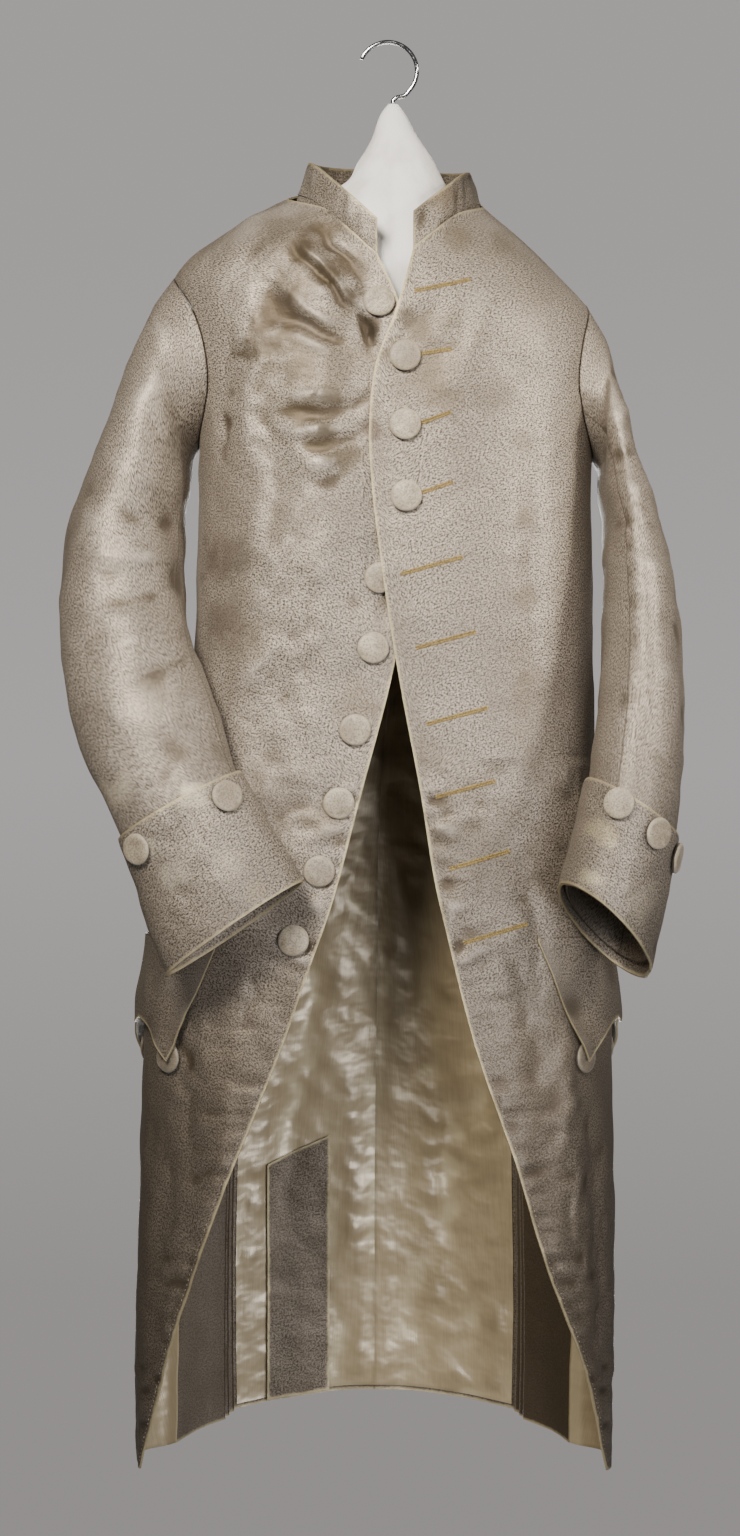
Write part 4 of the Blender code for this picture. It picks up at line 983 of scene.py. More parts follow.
    def front_places(self, side: Side, rows: int, columns: int) -> tuple[np.ndarray, np.ndarray]:
        """Lays out a front panel's places.

        Args:
            side: the panel's side.
            rows: how many rows it has below the armpit.
            columns: how many columns it has before the underarm part.

        Returns:
            The (girth, height) grid, and which of its points exist.
        """
        us, ms = np.linspace(0, 1, columns + 1), np.linspace(0, 1, columns // 3 + 1)[1:]
        grid, valid = [], []
        for share in np.linspace(0, 1, rows + 1):
            height = self.level(share)
            start = self.edge_girth(side, height)
            open_share = np.clip(1 - (height - HIP_HEIGHT) / self.notch_height, 0, 1)
            stack = self.stack_width(min(height, HIP_HEIGHT)) * open_share
            seam = side * (self.side_back("girth", height) - stack / self.body.half_girth(side, height))
            turn = start + (seam - start) * UNDERARM_SHARE
            girths = np.concatenate([start + (turn - start) * us, turn + (seam - turn) * ms])
            grid.append(np.stack([girths, self.row_height(girths, share)], axis=1))
            valid.append([True] * len(girths))
        armpit = grid[-1]
        neck = np.array([self.neckline_place(side, number) for number in range(NECK_ROWS + 1)])
        angles = UNDERARM_START + (SIDE_BACK_MEETS - UNDERARM_START) * ms
        top = np.array([self.armhole_place(side, angle) for angle in angles])
        for n in np.linspace(0, TOP_ROWS, TOP_ROWS * ROWS_IN_ONE + 1)[1:]:
            row = between(*self.front_ends(side, float(n), armpit[columns], neck), us)
            under = n <= UNDERARM_ROWS + 1e-9
            more = between(armpit[columns + 1 :], top, n / UNDERARM_ROWS)
            grid.append(np.concatenate([row, more if under else row[-1:].repeat(len(ms), 0)]))
            valid.append([True] * (columns + 1) + [under] * len(ms))
        return np.array(grid), np.array(valid)

    def front_ends(
        self, side: Side, n: float, armpit: np.ndarray, neck: np.ndarray
    ) -> tuple[np.ndarray, np.ndarray]:
        """Works out the two ends of a front row above the armpit.

        Args:
            side: the wearer's side.
            n: how many of the solids' rows it lies above the armpit.
            armpit: where the front meets the underarm part at the armpit.
            neck: the neckline's places.

        Returns:
            The places on the edge or neckline, and on the armhole.
        """
        on_edge = TOP_ROWS - NECK_ROWS
        if n <= on_edge:
            height = ARMPIT_HEIGHT + (NECKS[side].corner_height - ARMPIT_HEIGHT) * n / on_edge
            first = np.array([self.edge_girth(side, height), height])
        else:
            marks = np.arange(NECK_ROWS + 1.0)
            first = np.array([float(smooth(n - on_edge, marks, neck[:, axis])) for axis in (0, 1)])
        if n <= UNDERARM_ROWS:
            corner = np.array(self.armhole_place(side, UNDERARM_START))
            return first, between(armpit, corner, n / UNDERARM_ROWS)
        turn = 1 - (n - UNDERARM_ROWS) / ARMHOLE_ROWS
        return first, np.array(self.armhole_place(side, UNDERARM_START * turn))

    def back_places(self, side: Side, rows: int, columns: int) -> np.ndarray:
        """Lays out a back panel's places, from the middle of the back to the side-back seam.

        Args:
            side: the panel's side.
            rows: how many rows it has below the armpit.
            columns: how many columns it has.

        Returns:
            The (girth, height) grid.
        """
        us = np.linspace(0, 1, columns + 1)
        grid = []
        for share in np.linspace(0, 1, rows + 1):
            girths = side * (1 + (self.side_back("girth", self.level(share)) - 1) * us)
            grid.append(np.stack([girths, self.row_height(girths, share)], axis=1))
        armpit, middle_top = grid[-1][-1], np.array([side * 1.0, BACK_NECK_HEIGHT])
        tip, meets = (np.array(self.armhole_place(side, angle)) for angle in (0, SIDE_BACK_MEETS))
        ends = np.array([middle_top, self.neckline_place(side, NECK_ROWS), tip])
        top = np.stack([np.interp(us, [0, BACK_NECK_SHARE, 1], ends[:, axis]) for axis in (0, 1)], axis=1)
        bulge = top - between(middle_top, tip, us)
        for n in np.linspace(0, TOP_ROWS, TOP_ROWS * ROWS_IN_ONE + 1)[1:]:
            first = np.array([side * 1.0, ARMPIT_HEIGHT + (BACK_NECK_HEIGHT - ARMPIT_HEIGHT) * n / TOP_ROWS])
            if n <= UNDERARM_ROWS:
                last = between(armpit, meets, n / UNDERARM_ROWS)
            else:
                turn = 1 - (n - UNDERARM_ROWS) / ARMHOLE_ROWS
                last = np.array(self.armhole_place(side, (SIDE_BACK_MEETS - FULL_TURN) * turn))
            grid.append(between(first, last, us) + bulge * (n / TOP_ROWS) ** 1.5)
        return np.array(grid)


# ---------------------------------------------------------------- cloth walls


@dataclass
class Wall:
    """A cloth wall between two grids of points, with a rim along every free edge."""

    outer: np.ndarray
    inner: np.ndarray
    finished: tuple[str, ...] = ()  # which sides are worn edges: first, last, low or high
    valid: np.ndarray | None = None
    round_about: bool = False

    def lengths(self) -> tuple[np.ndarray, np.ndarray]:
        """The distance along each row from its first column, and along each column from its first row."""
        return lengths_along(self.outer, 1), lengths_along(self.outer, 0)

    def distances(self) -> tuple[np.ndarray, np.ndarray]:
        """Measures how far each point is from the wall's edges, up to a metre.

        Returns:
            The distances from a finished edge, and from a sewn one.
        """
        across, up = self.lengths()
        sides = {"low": up, "high": up[-1:] - up}
        if not self.round_about:
            sides |= {"first": across, "last": across[:, -1:] - across}
        nearest = {True: np.full(across.shape, 1.0), False: np.full(across.shape, 1.0)}
        for name, away in sides.items():
            kind = name in self.finished
            nearest[kind] = np.minimum(nearest[kind], away)
        return nearest[True], nearest[False]

    def relief(self) -> np.ndarray:
        """Measures how far each point stands out of the cloth round it, which the finishes use for painted
        highlights on ridges and painted shade in hollows.

        Returns:
            The rises, under 0 in a hollow.
        """
        fine = blurred(self.outer, RELIEF_FINE, self.round_about)
        moved = fine - blurred(fine, RELIEF_ROUND, self.round_about)
        rise = np.sum(moved * unit(self.outer - self.inner), axis=-1)
        return rise - blurred(rise, 4 * RELIEF_ROUND, self.round_about)

    def quads(self) -> tuple[np.ndarray, np.ndarray]:
        """Lays out the outer face's quads.

        Returns:
            Their corners as grid indices, and their cloth coordinates.
        """
        rows, cols = self.outer.shape[:2]
        across, up = self.lengths()
        middle = across - across[:, cols // 2 : cols // 2 + 1]
        if self.round_about:
            gap = np.linalg.norm(self.outer[:, :1] - self.outer[:, -1:], axis=-1)
            middle = np.concatenate([middle, middle[:, -1:] + gap], axis=1)
            up = np.concatenate([up, up[:, :1]], axis=1)
        cloth = np.stack([middle, up], axis=-1)
        i, j = (n.ravel() for n in np.mgrid[: rows - 1, : middle.shape[1] - 1])
        corners = [(i, j), (i, j + 1), (i + 1, j + 1), (i + 1, j)]
        index = np.stack([a * cols + b % cols for a, b in corners], axis=1)
        uv = np.stack([cloth[a, b] for a, b in corners], axis=1)
        if self.valid is not None:
            keep = self.valid.ravel()[index].all(axis=1)
            index, uv = index[keep], uv[keep]
        return index, uv

    def crossed(self, index: np.ndarray) -> np.ndarray:
        """For each outer quad, a vector out of it as long as twice its area."""
        corners = self.outer.reshape(-1, 3)[index]
        return np.cross(corners[:, 2] - corners[:, 0], corners[:, 3] - corners[:, 1])

    def make_mesh(self, name: str) -> Mesh:
        """Builds the wall as one closed mesh.

        Args:
            name: the mesh's name.

        Returns:
            The mesh, with its cloth coordinates, and its distances to edges and seams as attributes.
        """
        index, uv = self.quads()
        outer, inner = self.outer.reshape(-1, 3), self.inner.reshape(-1, 3)
        if np.sum(self.crossed(index) * (outer - inner)[index[:, 0]]) < 0:
            index, uv = index[:, ::-1], uv[:, ::-1]
        total = len(outer)
        starts, ends = index.ravel(), np.roll(index, -1, axis=1).ravel()
        free = ~np.isin(starts * total + ends, ends * total + starts)
        rim = np.stack([ends[free], starts[free], starts[free] + total, ends[free] + total], axis=1)
        uv_start, uv_end = uv.reshape(-1, 2)[free], np.roll(uv, -1, axis=1).reshape(-1, 2)[free]
        rim_uv = np.stack([uv_end, uv_start, uv_start, uv_end], axis=1)
        faces = np.concatenate([index, index[:, ::-1] + total, rim])
        used, faces = np.unique(faces, return_inverse=True)
        mesh = bpy.data.meshes.new(name)
        points = np.concatenate([outer, inner])[used]
        mesh.from_pydata(points.tolist(), [], faces.reshape(-1, 4).tolist())
        coords = np.concatenate([uv, uv[:, ::-1], rim_uv]).astype(np.float32)
        mesh.uv_layers.new(name="cloth").uv.foreach_set("vector", coords.ravel())
        for label, value in zip(("edge", "seam", "relief"), (*self.distances(), self.relief())):
            add_values(mesh, label, np.tile(value.ravel(), 2)[used])
        mesh.shade_smooth()
        mesh.set_sharp_from_angle(angle=math.radians(50))
        return mesh


def add_values(mesh: Mesh, label: str, values: np.ndarray) -> None:
    """Gives a mesh's points a value each, as an attribute."""
    data = mesh.attributes.new(label, "FLOAT", "POINT").data
    data.foreach_set("value", values.astype(np.float32))


def tube_mesh(name: str, rings: np.ndarray) -> Mesh:
    """Makes a smooth closed mesh with a flat cap on each end and cloth coordinates.

    Args:
        name: the mesh's name.
        rings: its rings of points.

    Returns:
        The mesh.
    """
    index, uv = Wall(rings, rings, round_about=True).quads()
    count, sides = rings.shape[:2]
    ends = [list(range(sides)), list(range((count - 1) * sides, count * sides))]
    mesh = bpy.data.meshes.new(name)
    mesh.from_pydata(rings.reshape(-1, 3).tolist(), [], index.tolist() + ends)
    coords = np.zeros((len(mesh.loops), 2), np.float32)
    coords[: index.size] = uv.reshape(-1, 2)
    mesh.uv_layers.new(name="cloth").uv.foreach_set("vector", coords.ravel())
    work = bmesh.new()
    work.from_mesh(mesh)
    bmesh.ops.recalc_face_normals(work, faces=work.faces)
    work.to_mesh(mesh)
    work.free()
    mesh.shade_smooth()
    return mesh


def place_object(name: str, data: Any) -> Object:
    """Puts a mesh, light or camera in the scene."""
    made = bpy.data.objects.new(name, data)
    bpy.context.scene.collection.objects.link(made)
    return made


# ---------------------------------------------------------------- finishes


def linear(colour: str) -> tuple[float, float, float, float]:
    """Turns an sRGB hex colour to linear light."""
    parts = [int(colour[n : n + 2], 16) / 255 for n in (1, 3, 5)]
    lit = [part / 12.92 if part <= 0.04045 else ((part + 0.055) / 1.055) ** 2.4 for part in parts]
    return lit[0], lit[1], lit[2], 1.0


def add_node(
    tree: NodeTree,
    kind: str,
    settings: dict[str, Any] | None = None,
    inputs: dict[str | int, Any] | None = None,
) -> Node:
    """Adds a node with its settings and links.

    Args:
        tree: the tree that it goes in.
        kind: the node's type.
        settings: values of the node's own properties.
        inputs: its inputs by name or number: a value, a hex colour, or a socket, which is linked.

    Returns:
        The node.
    """
    node = tree.nodes.new(kind)
    for name, value in (settings or {}).items():
        setattr(node, name, value)
    set_inputs(tree, node, inputs or {})
    return node


def set_inputs(tree: NodeTree, node: Node, inputs: dict[str | int, Any]) -> None:
    """Sets or links a node's inputs.

    Args:
        tree: the node's tree.
        node: the node.
        inputs: values, hex colours or sockets to link, by name or number.
    """
    for name, value in inputs.items():
        if isinstance(value, NodeSocket):
            tree.links.new(value, node.inputs[name])
        else:
            is_colour = isinstance(value, str) and value.startswith("#")
            node.inputs[name].default_value = linear(value) if is_colour else value


class Shading:
    """A new material's tree, with the steps that several finishes share."""

    def __init__(self, name: str) -> None:
        """Starts a material that holds only its shader and output."""
        self.material = bpy.data.materials.new(name)
        self.material.use_nodes = True
        self.tree = self.material.node_tree

    @cached_property
    def object(self) -> NodeSocket:
        """Real coordinates in metres."""
        return self.add("ShaderNodeTexCoord").outputs["Object"]

    @cached_property
    def cloth(self) -> NodeSocket:
        """The cloth's own coordinates in metres, along the weft and the warp."""
        return self.add("ShaderNodeUVMap", {"uv_map": "cloth"}).outputs["UV"]

    def add(self, kind: str, settings: dict[str, Any] | None = None, inputs: Any = None) -> Node:
        """Adds a node to the material."""
        return add_node(self.tree, kind, settings, inputs)

    def finish(self, values: dict[str, Any]) -> Material:
        """Sets or links the shader's own sockets, and gives back the material."""
        set_inputs(self.tree, self.tree.nodes["Principled BSDF"], values)
        return self.material

    def measure(self, name: str) -> NodeSocket:
        """A value that the mesh's points hold."""
        return self.add("ShaderNodeAttribute", {"attribute_name": name}).outputs["Fac"]

    def grain(self, vector: NodeSocket, *size: float, detail: float = 2.0, rough: float = 0.5) -> NodeSocket:
        """Makes uneven values about 0.5.

        Args:
            vector: the coordinates.
            size: the real length in metres of one rise, given once or for each axis.
            detail: how many finer layers the noise has.
            rough: how strong they are.

        Returns:
            The values.
        """
        scale = tuple(1 / length for length in (size * 3)[:3])
        placed = self.add("ShaderNodeMapping", None, {"Vector": vector, "Scale": scale}).outputs["Vector"]
        inputs = {"Vector": placed, "Scale": 1.0, "Detail": detail, "Roughness": rough}
        return self.add("ShaderNodeTexNoise", None, inputs).outputs["Fac"]

    def eased(
        self, value: Any, low: float, high: float, most: float = 1.0, least: float = 0.0
    ) -> NodeSocket:
        """A value moved from the range low to high to the range least to most, smoothly at its ends."""
        inputs = {"Value": value, "From Min": low, "From Max": high, "To Min": least, "To Max": most}
        return self.add("ShaderNodeMapRange", {"interpolation_type": "SMOOTHSTEP"}, inputs).outputs[0]

    def summed(self, value: Any, by: Any, amount: float) -> NodeSocket:
        """A value, plus another times an amount."""
        inputs = {0: by, 1: amount, 2: value}
        return self.add("ShaderNodeMath", {"operation": "MULTIPLY_ADD"}, inputs).outputs[0]

    def lay(self, under: Any, over: Any, share: Any) -> NodeSocket:
        """Lays one colour over another. A mix node has its colours in 6 and 7, and its result in output 2."""
        return self.add("ShaderNodeMix", {"data_type": "RGBA"}, {0: share, 6: under, 7: over}).outputs[2]

    def relief(self, *layers: tuple[NodeSocket, float]) -> NodeSocket:
        """Makes relief.

        Args:
            layers: heights, each with its real depth in metres, laid over the last.

        Returns:
            The normal.
        """
        onto = {}
        for height, depth in layers:
            inputs = {"Height": height, "Distance": depth, "Strength": 1.0, **onto}
            onto = {"Normal": self.add("ShaderNodeBump", None, inputs).outputs["Normal"]}
        return onto["Normal"]


@dataclass(frozen=True)
class Stain:
    """A stained or rubbed place on the front of the cloth, or a patch of painted shade, round with a ragged
    edge.
    """

    x: float
    z: float
    radius: float
    colour: str
    strength: float


# Real stains and pale rubbed wear, broad dark patches on the chest, and painted shade: a dark row along the
# crease from the right shoulder down to under the top button, and the broad patch that darkens the wearer's
# left hip as the light falls off.
STAINS_AND_SHADE = from_mm(
    Stain,
    (-90, -237, 24, "#4C4132", 0.95), (-96, -265, 20, "#52483A", 0.85), (-77, -288, 16, "#5A5042", 0.65),
    (-72, -186, 13, "#453B2B", 0.95), (-52, -208, 13, "#453B2B", 0.95), (-32, -229, 13, "#40372A", 0.95),
    (-15, -255, 11, "#352D22", 0.95), (-49, -169, 12, "#5A4E3D", 0.65), (-30, -197, 12, "#5A4E3D", 0.65),
    (-73, -323, 16, "#5A4F3E", 0.78), (-43, -314, 12, "#4E4435", 0.78), (-55, -346, 16, "#5C513F", 0.78),
    (-33, -359, 13, "#544937", 0.78), (-14, -338, 9, "#5C4F45", 0.78), (13, -240, 10, "#51473A", 0.72),
    (26, -255, 12, "#5A5042", 0.65), (37, -290, 13, "#6A5F50", 0.52), (47, -313, 14, "#6A5F50", 0.52),
    (85, -305, 20, "#6A6052", 0.45), (109, -344, 10, "#62584A", 0.39), (112, -410, 12, "#62584A", 0.52),
    (114, -476, 12, "#62584A", 0.52), (114, -543, 12, "#62584A", 0.52), (-134, -442, 22, "#5E554A", 0.72),
    (-136, -492, 18, "#5E554A", 0.65), (-115, -509, 20, "#6A5F50", 0.45), (43, -140, 16, "#6B5B43", 0.59),
    (94, -182, 14, "#6E6250", 0.52), (56, -175, 14, "#6B5F4C", 0.59), (-30, -559, 22, "#6E6250", 0.45),
    (-48, -658, 22, "#6E6250", 0.45), (42, -609, 24, "#6A5F4E", 0.45), (67, -683, 62, "#51483B", 0.50),
    (-58, -289, 52, "#5E5342", 0.50), (-73, -185, 40, "#5E5342", 0.42), (33, -279, 44, "#665B4A", 0.42),
    (-220, -633, 13, "#D2C6AC", 0.42), (-199, -560, 20, "#C2B7A4", 0.30), (-159, -639, 12, "#D6CAAC", 0.42),
    (-175, -703, 15, "#CEC3AC", 0.35), (-129, -690, 14, "#BDB19B", 0.20), (-195, -679, 12, "#D2C7AE", 0.40),
    (-106, -715, 10, "#8C7F64", 0.25), (-231, -443, 20, "#B5AA9B", 0.23), (-199, -308, 18, "#B5AA9B", 0.20),
    (171, -666, 12, "#CDC096", 0.38), (161, -703, 10, "#D0C49C", 0.38), (203, -722, 16, "#BFB49C", 0.23),
    (74, -227, 14, "#BFB6A6", 0.17),
    plain=2,
)


@dataclass(frozen=True)
class WovenSilk:
    """Figured silk of taupe warp and paler weft, woven close, with a worn satin sheen, painted highlights and
    shade on its small folds, and painted shade towards the hem.
    """

    name: str = "taupe_woven_silk"
    warp: str = "#40382E"
    weft: str = "#B1A697"
    # painted highlight on the ridges of the small folds
    bright: str = "#C2B9AB"
    shade: str = "#70665A"
    # painted shade, in the hollows of the small folds and towards the hem
    soil: str = "#463C2E"
    rubbed: str = "#BFB189"
    in_seam: str = "#4A4034"
    speck: float = 0.0015  # real threads lie about 0.2 mm apart, too fine to show, so drawn coarser
    worn_edge: float = 0.0013
    roughness: float = 0.48

    def build(self) -> Material:
        """Makes the material.

        Returns:
            The material.
        """
        s = Shading(self.name)
        weave = s.grain(s.cloth, self.speck * 1.15, self.speck, detail=3.0, rough=0.7)
        colour = s.lay(self.warp, self.weft, s.eased(weave, 0.375, 0.61))
        relief = s.measure("relief")
        # painted highlight on the ridges of the small folds, and painted shade in their hollows
        colour = s.lay(colour, self.bright, s.eased(relief, 0.0003, 0.0014, 0.35))
        colour = s.lay(colour, self.soil, s.eased(relief, -0.0002, -0.0012, 0.85))
        clouds = s.grain(s.object, 0.09, 0.09, 0.12, detail=4.0, rough=0.6)
        colour = s.lay(colour, self.shade, s.eased(clouds, 0.42, 0.70, 0.5))
        place = s.add("ShaderNodeSeparateXYZ", None, {0: s.object}).outputs
        # painted shade: the cloth darkens from z -0.50 down to -0.86, as the light falls off towards the hem
        colour = s.lay(colour, self.soil, s.eased(s.summed(place["Z"], clouds, 0.16), -0.50, -0.86, 0.68))
        colour = self.stain(s, colour, place, weave)
        fray = s.grain(s.cloth, 0.011, detail=3.0, rough=0.7)
        rubbed = s.eased(s.summed(s.measure("edge"), fray, -0.0036), self.worn_edge, -0.0014, 0.62)
        colour = s.lay(colour, self.rubbed, rubbed)
        colour = s.lay(colour, self.in_seam, s.eased(s.measure("seam"), 0.0016, 0.0, 0.6))
        crumple = s.grain(s.object, 0.036, 0.036, 0.027, detail=4.0)
        return s.finish({
            "Base Color": colour,
            "Metallic": 0.40,
            "Roughness": s.eased(weave, 0.3, 0.7, self.roughness + 0.06, self.roughness - 0.04),
            "IOR": 1.54,
            "Specular IOR Level": 0.14,
            "Sheen Weight": 0.03,
            "Sheen Roughness": 0.45,
            "Sheen Tint": "#E6DCC8",
            "Normal": s.relief((crumple, 0.0024), (weave, 0.00020)),
        })

    def stain(self, s: Shading, colour: NodeSocket, place: Any, weave: NodeSocket) -> NodeSocket:
        """Lays the stains, the rubbed places and the patches of painted shade on the cloth's front, each with
        a ragged edge.

        Args:
            s: the material's tree.
            colour: the cloth's colour.
            place: the X, Y and Z of the coordinates.
            weave: the weave's values.

        Returns:
            The stained colour.
        """
        seen = s.add("ShaderNodeCombineXYZ", None, {"X": place["X"], "Z": place["Z"]}).outputs[0]
        sides = {0: s.eased(place["Y"], 0.0, -0.03), 1: s.eased(weave, 0.30, 0.60, 1.0, 0.6)}
        front = s.add("ShaderNodeMath", {"operation": "MULTIPLY"}, sides).outputs[0]
        torn = s.grain(s.object, 0.022, detail=3.0, rough=0.6)
        for spot in STAINS_AND_SHADE:
            inputs = {0: seen, 1: (spot.x, 0.0, spot.z)}
            away = s.add("ShaderNodeVectorMath", {"operation": "DISTANCE"}, inputs).outputs["Value"]
            ragged = s.summed(away, torn, spot.radius * 2.4)
            share = s.eased(ragged, spot.radius * 2.5, spot.radius * 1.5, spot.strength)
            share = s.add("ShaderNodeMath", {"operation": "MULTIPLY"}, {0: share, 1: front}).outputs[0]
            colour = s.lay(colour, spot.colour, share)
        return colour


@dataclass(frozen=True)
class LiningSatin:
    """Cream silk satin, floated along the warp, so that it shines in soft streaks across its wrinkles."""

    name: str = "cream_silk_satin"
    body: str = "#A39373"
    lit: str = "#CCC09C"
    # soil, and painted shade in the hollows of the wrinkles
    soiled: str = "#75674A"
    streak: float = 0.0012  # bundles of its 0.1 mm threads
    roughness: float = 0.36

    def build(self) -> Material:
        """Makes the material.

        Returns:
            The material.
        """
        s = Shading(self.name)
        streaks = s.grain(s.cloth, self.streak, self.streak * 26)
        clouds = s.grain(s.object, 0.09, 0.09, 0.16, detail=4.0, rough=0.65)
        colour = s.lay(self.body, self.soiled, s.eased(clouds, 0.46, 0.74, 0.65))
        colour = s.lay(colour, self.soiled, s.eased(streaks, 0.35, 0.65, 0.22))
        colour = s.lay(colour, self.soiled, s.eased(s.measure("edge"), 0.004, 0.0, 0.5))
        relief = s.measure("relief")
        # painted highlight on the ridges of the wrinkles, and painted shade in their hollows
        colour = s.lay(colour, self.lit, s.eased(relief, 0.0, 0.0012, 0.40))
        colour = s.lay(colour, self.soiled, s.eased(relief, 0.0, -0.0012, 0.45))
        crumple = s.grain(s.cloth, 0.055, 0.045, detail=3.0, rough=0.42)
        return s.finish({
            "Base Color": colour,
            "Metallic": 0.2,
            "Roughness": self.roughness,
            "IOR": 1.54,
            "Specular IOR Level": 0.6,
            "Sheen Weight": 0.1,
            "Normal": s.relief((crumple, 0.0075), (streaks, 0.00010)),
        })


@dataclass(frozen=True)
class ButtonSilk:
    """The coat's silk drawn tight over a wooden disc, rubbed pale on its rim and face, with painted shade
    underneath and on the lower buttons.
    """

    name: str = "button_covering_silk"
    body: str = "#8E816D"
    rubbed: str = "#BBAF96"
    dirt: str = "#4F4536"
    shade: str = "#3E3528"
    roughness: float = 0.5

    def build(self) -> Material:
        """Makes the material.

        Returns:
            The material.
        """
        s = Shading(self.name)
        specks = s.grain(s.object, 0.0015, detail=3.0, rough=0.7)
        patches = s.grain(s.object, 0.040, detail=5.0, rough=0.7)
        colour = s.lay(self.body, self.rubbed, s.eased(patches, 0.40, 0.66, 0.9))
        colour = s.lay(colour, self.dirt, s.eased(specks, 0.56, 0.38, 0.6))
        rim = s.measure("rim")
        colour = s.lay(colour, self.rubbed, s.eased(rim, 0.70, 0.98, 0.4))
        # painted shade on the underside
        colour = s.lay(colour, self.shade, s.eased(rim, 1.02, 1.5, 0.95))
        level = s.add("ShaderNodeSeparateXYZ", None, {0: s.object}).outputs["Z"]
        # painted shade: the lower buttons darker, as the light falls off downwards
        colour = s.lay(colour, self.shade, s.eased(level, -0.66, -0.90, 0.6))
        normal = s.relief((patches, 0.0005), (specks, 0.00020))
        looks = {"Base Color": colour, "Roughness": self.roughness, "IOR": 1.54, "Sheen Weight": 0.15}
        return s.finish(looks | {"Normal": normal})


@dataclass(frozen=True)
class Twist:
    """Silk twist, two strands laid together, with a bright run along each strand."""

    name: str
    body: str
    deep: str
    pitch: float = 0.0011

    def build(self) -> Material:
        """Makes the material.

        Returns:
            The material.
        """
        s = Shading(self.name)
        laid = s.grain(s.object, self.pitch)
        colour = s.lay(self.deep, self.body, s.eased(laid, 0.38, 0.62))
        looks = {"Base Color": colour, "Roughness": 0.45, "IOR": 1.54, "Sheen Weight": 0.15}
        return s.finish(looks | {"Normal": s.relief((laid, 0.0002))})


@dataclass(frozen=True)
class Muslin:
    """Bleached cotton muslin over wadding, plain-woven and matte."""

    name: str = "bleached_cotton_muslin"
    body: str = "#F3F1EC"
    shade: str = "#C8C4BA"
    thread: float = 0.0009  # real threads lie about 0.4 mm apart, so drawn coarser

    def build(self) -> Material:
        """Makes the material.

        Returns:
            The material.
        """
        s = Shading(self.name)
        weave = s.grain(s.cloth, self.thread)
        clouds = s.grain(s.object, 0.030, 0.030, 0.060, detail=3.0)
        crumple = s.grain(s.object, 0.018, 0.018, 0.050, detail=3.0)
        colour = s.lay(self.body, self.shade, s.eased(clouds, 0.42, 0.70, 0.6))
        looks = {"Base Color": colour, "Roughness": 0.85, "Sheen Weight": 0.25}
        return s.finish(looks | {"Normal": s.relief((crumple, 0.0022), (weave, 0.00016))})


@dataclass(frozen=True)
class ChromedWire:
    """Steel wire, drawn and chrome-plated, with fine handling marks."""

    name: str = "chromed_steel_wire"
    body: str = "#D4D5D7"
    marked: str = "#A9AAAC"

    def build(self) -> Material:
        """Makes the material.

        Returns:
            The material.
        """
        s = Shading(self.name)
        marks = s.grain(s.object, 0.004, detail=3.0)
        colour = s.lay(self.body, self.marked, s.eased(marks, 0.4, 0.7, 0.3))
        rough = s.eased(marks, 0.3, 0.7, 0.22, 0.10)
        return s.finish({"Base Color": colour, "Metallic": 1.0, "Roughness": rough})


@dataclass(frozen=True)
class StudioPaper:
    """Plain matte studio paper for the floor, evenly lit."""

    name: str = "pale_studio_paper"
    body: str = "#A3A09E"
    glow: float = 0.55

    def build(self) -> Material:
        """Makes the material.

        Returns:
            The material.
        """
        looks = {"Base Color": self.body, "Roughness": 0.9, "Specular IOR Level": 0.1}
        glow = {"Emission Color": self.body, "Emission Strength": self.glow}
        return Shading(self.name).finish(looks | glow)

# ---------------------------------------------------------------- the coat's pieces


@dataclass
class Dresser:
    """Puts finished pieces in the scene, each with its finish, on the coat's one body."""

    finishes: dict[Slot, Material]

    def add(self, mesh: Mesh, slot: Slot, nodes: tuple[str, ...] = ()) -> Object:
        """Adds a piece.

        Args:
            mesh: the piece's mesh, in place. The piece takes its name.
            slot: the finish that it gets.
            nodes: the solids that it stands for.

        Returns:
            The piece.
        """
        mesh.materials.append(self.finishes[slot])
        made = place_object(mesh.name, mesh)
        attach(made, "root")
        if nodes:
            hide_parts(*nodes)
        log.info("%s: %d faces", made.name, len(mesh.polygons))
        return made

    def hang(self, wall: Wall, node: str, slot: Slot) -> Object:
        """Args:
            wall: the cloth.
            node: the solid that it stands for.
            slot: the finish that it gets.

        Returns:
            The piece.
        """
        made = self.add(wall.make_mesh(f"{node}_cloth"), slot, (node,))
        return made


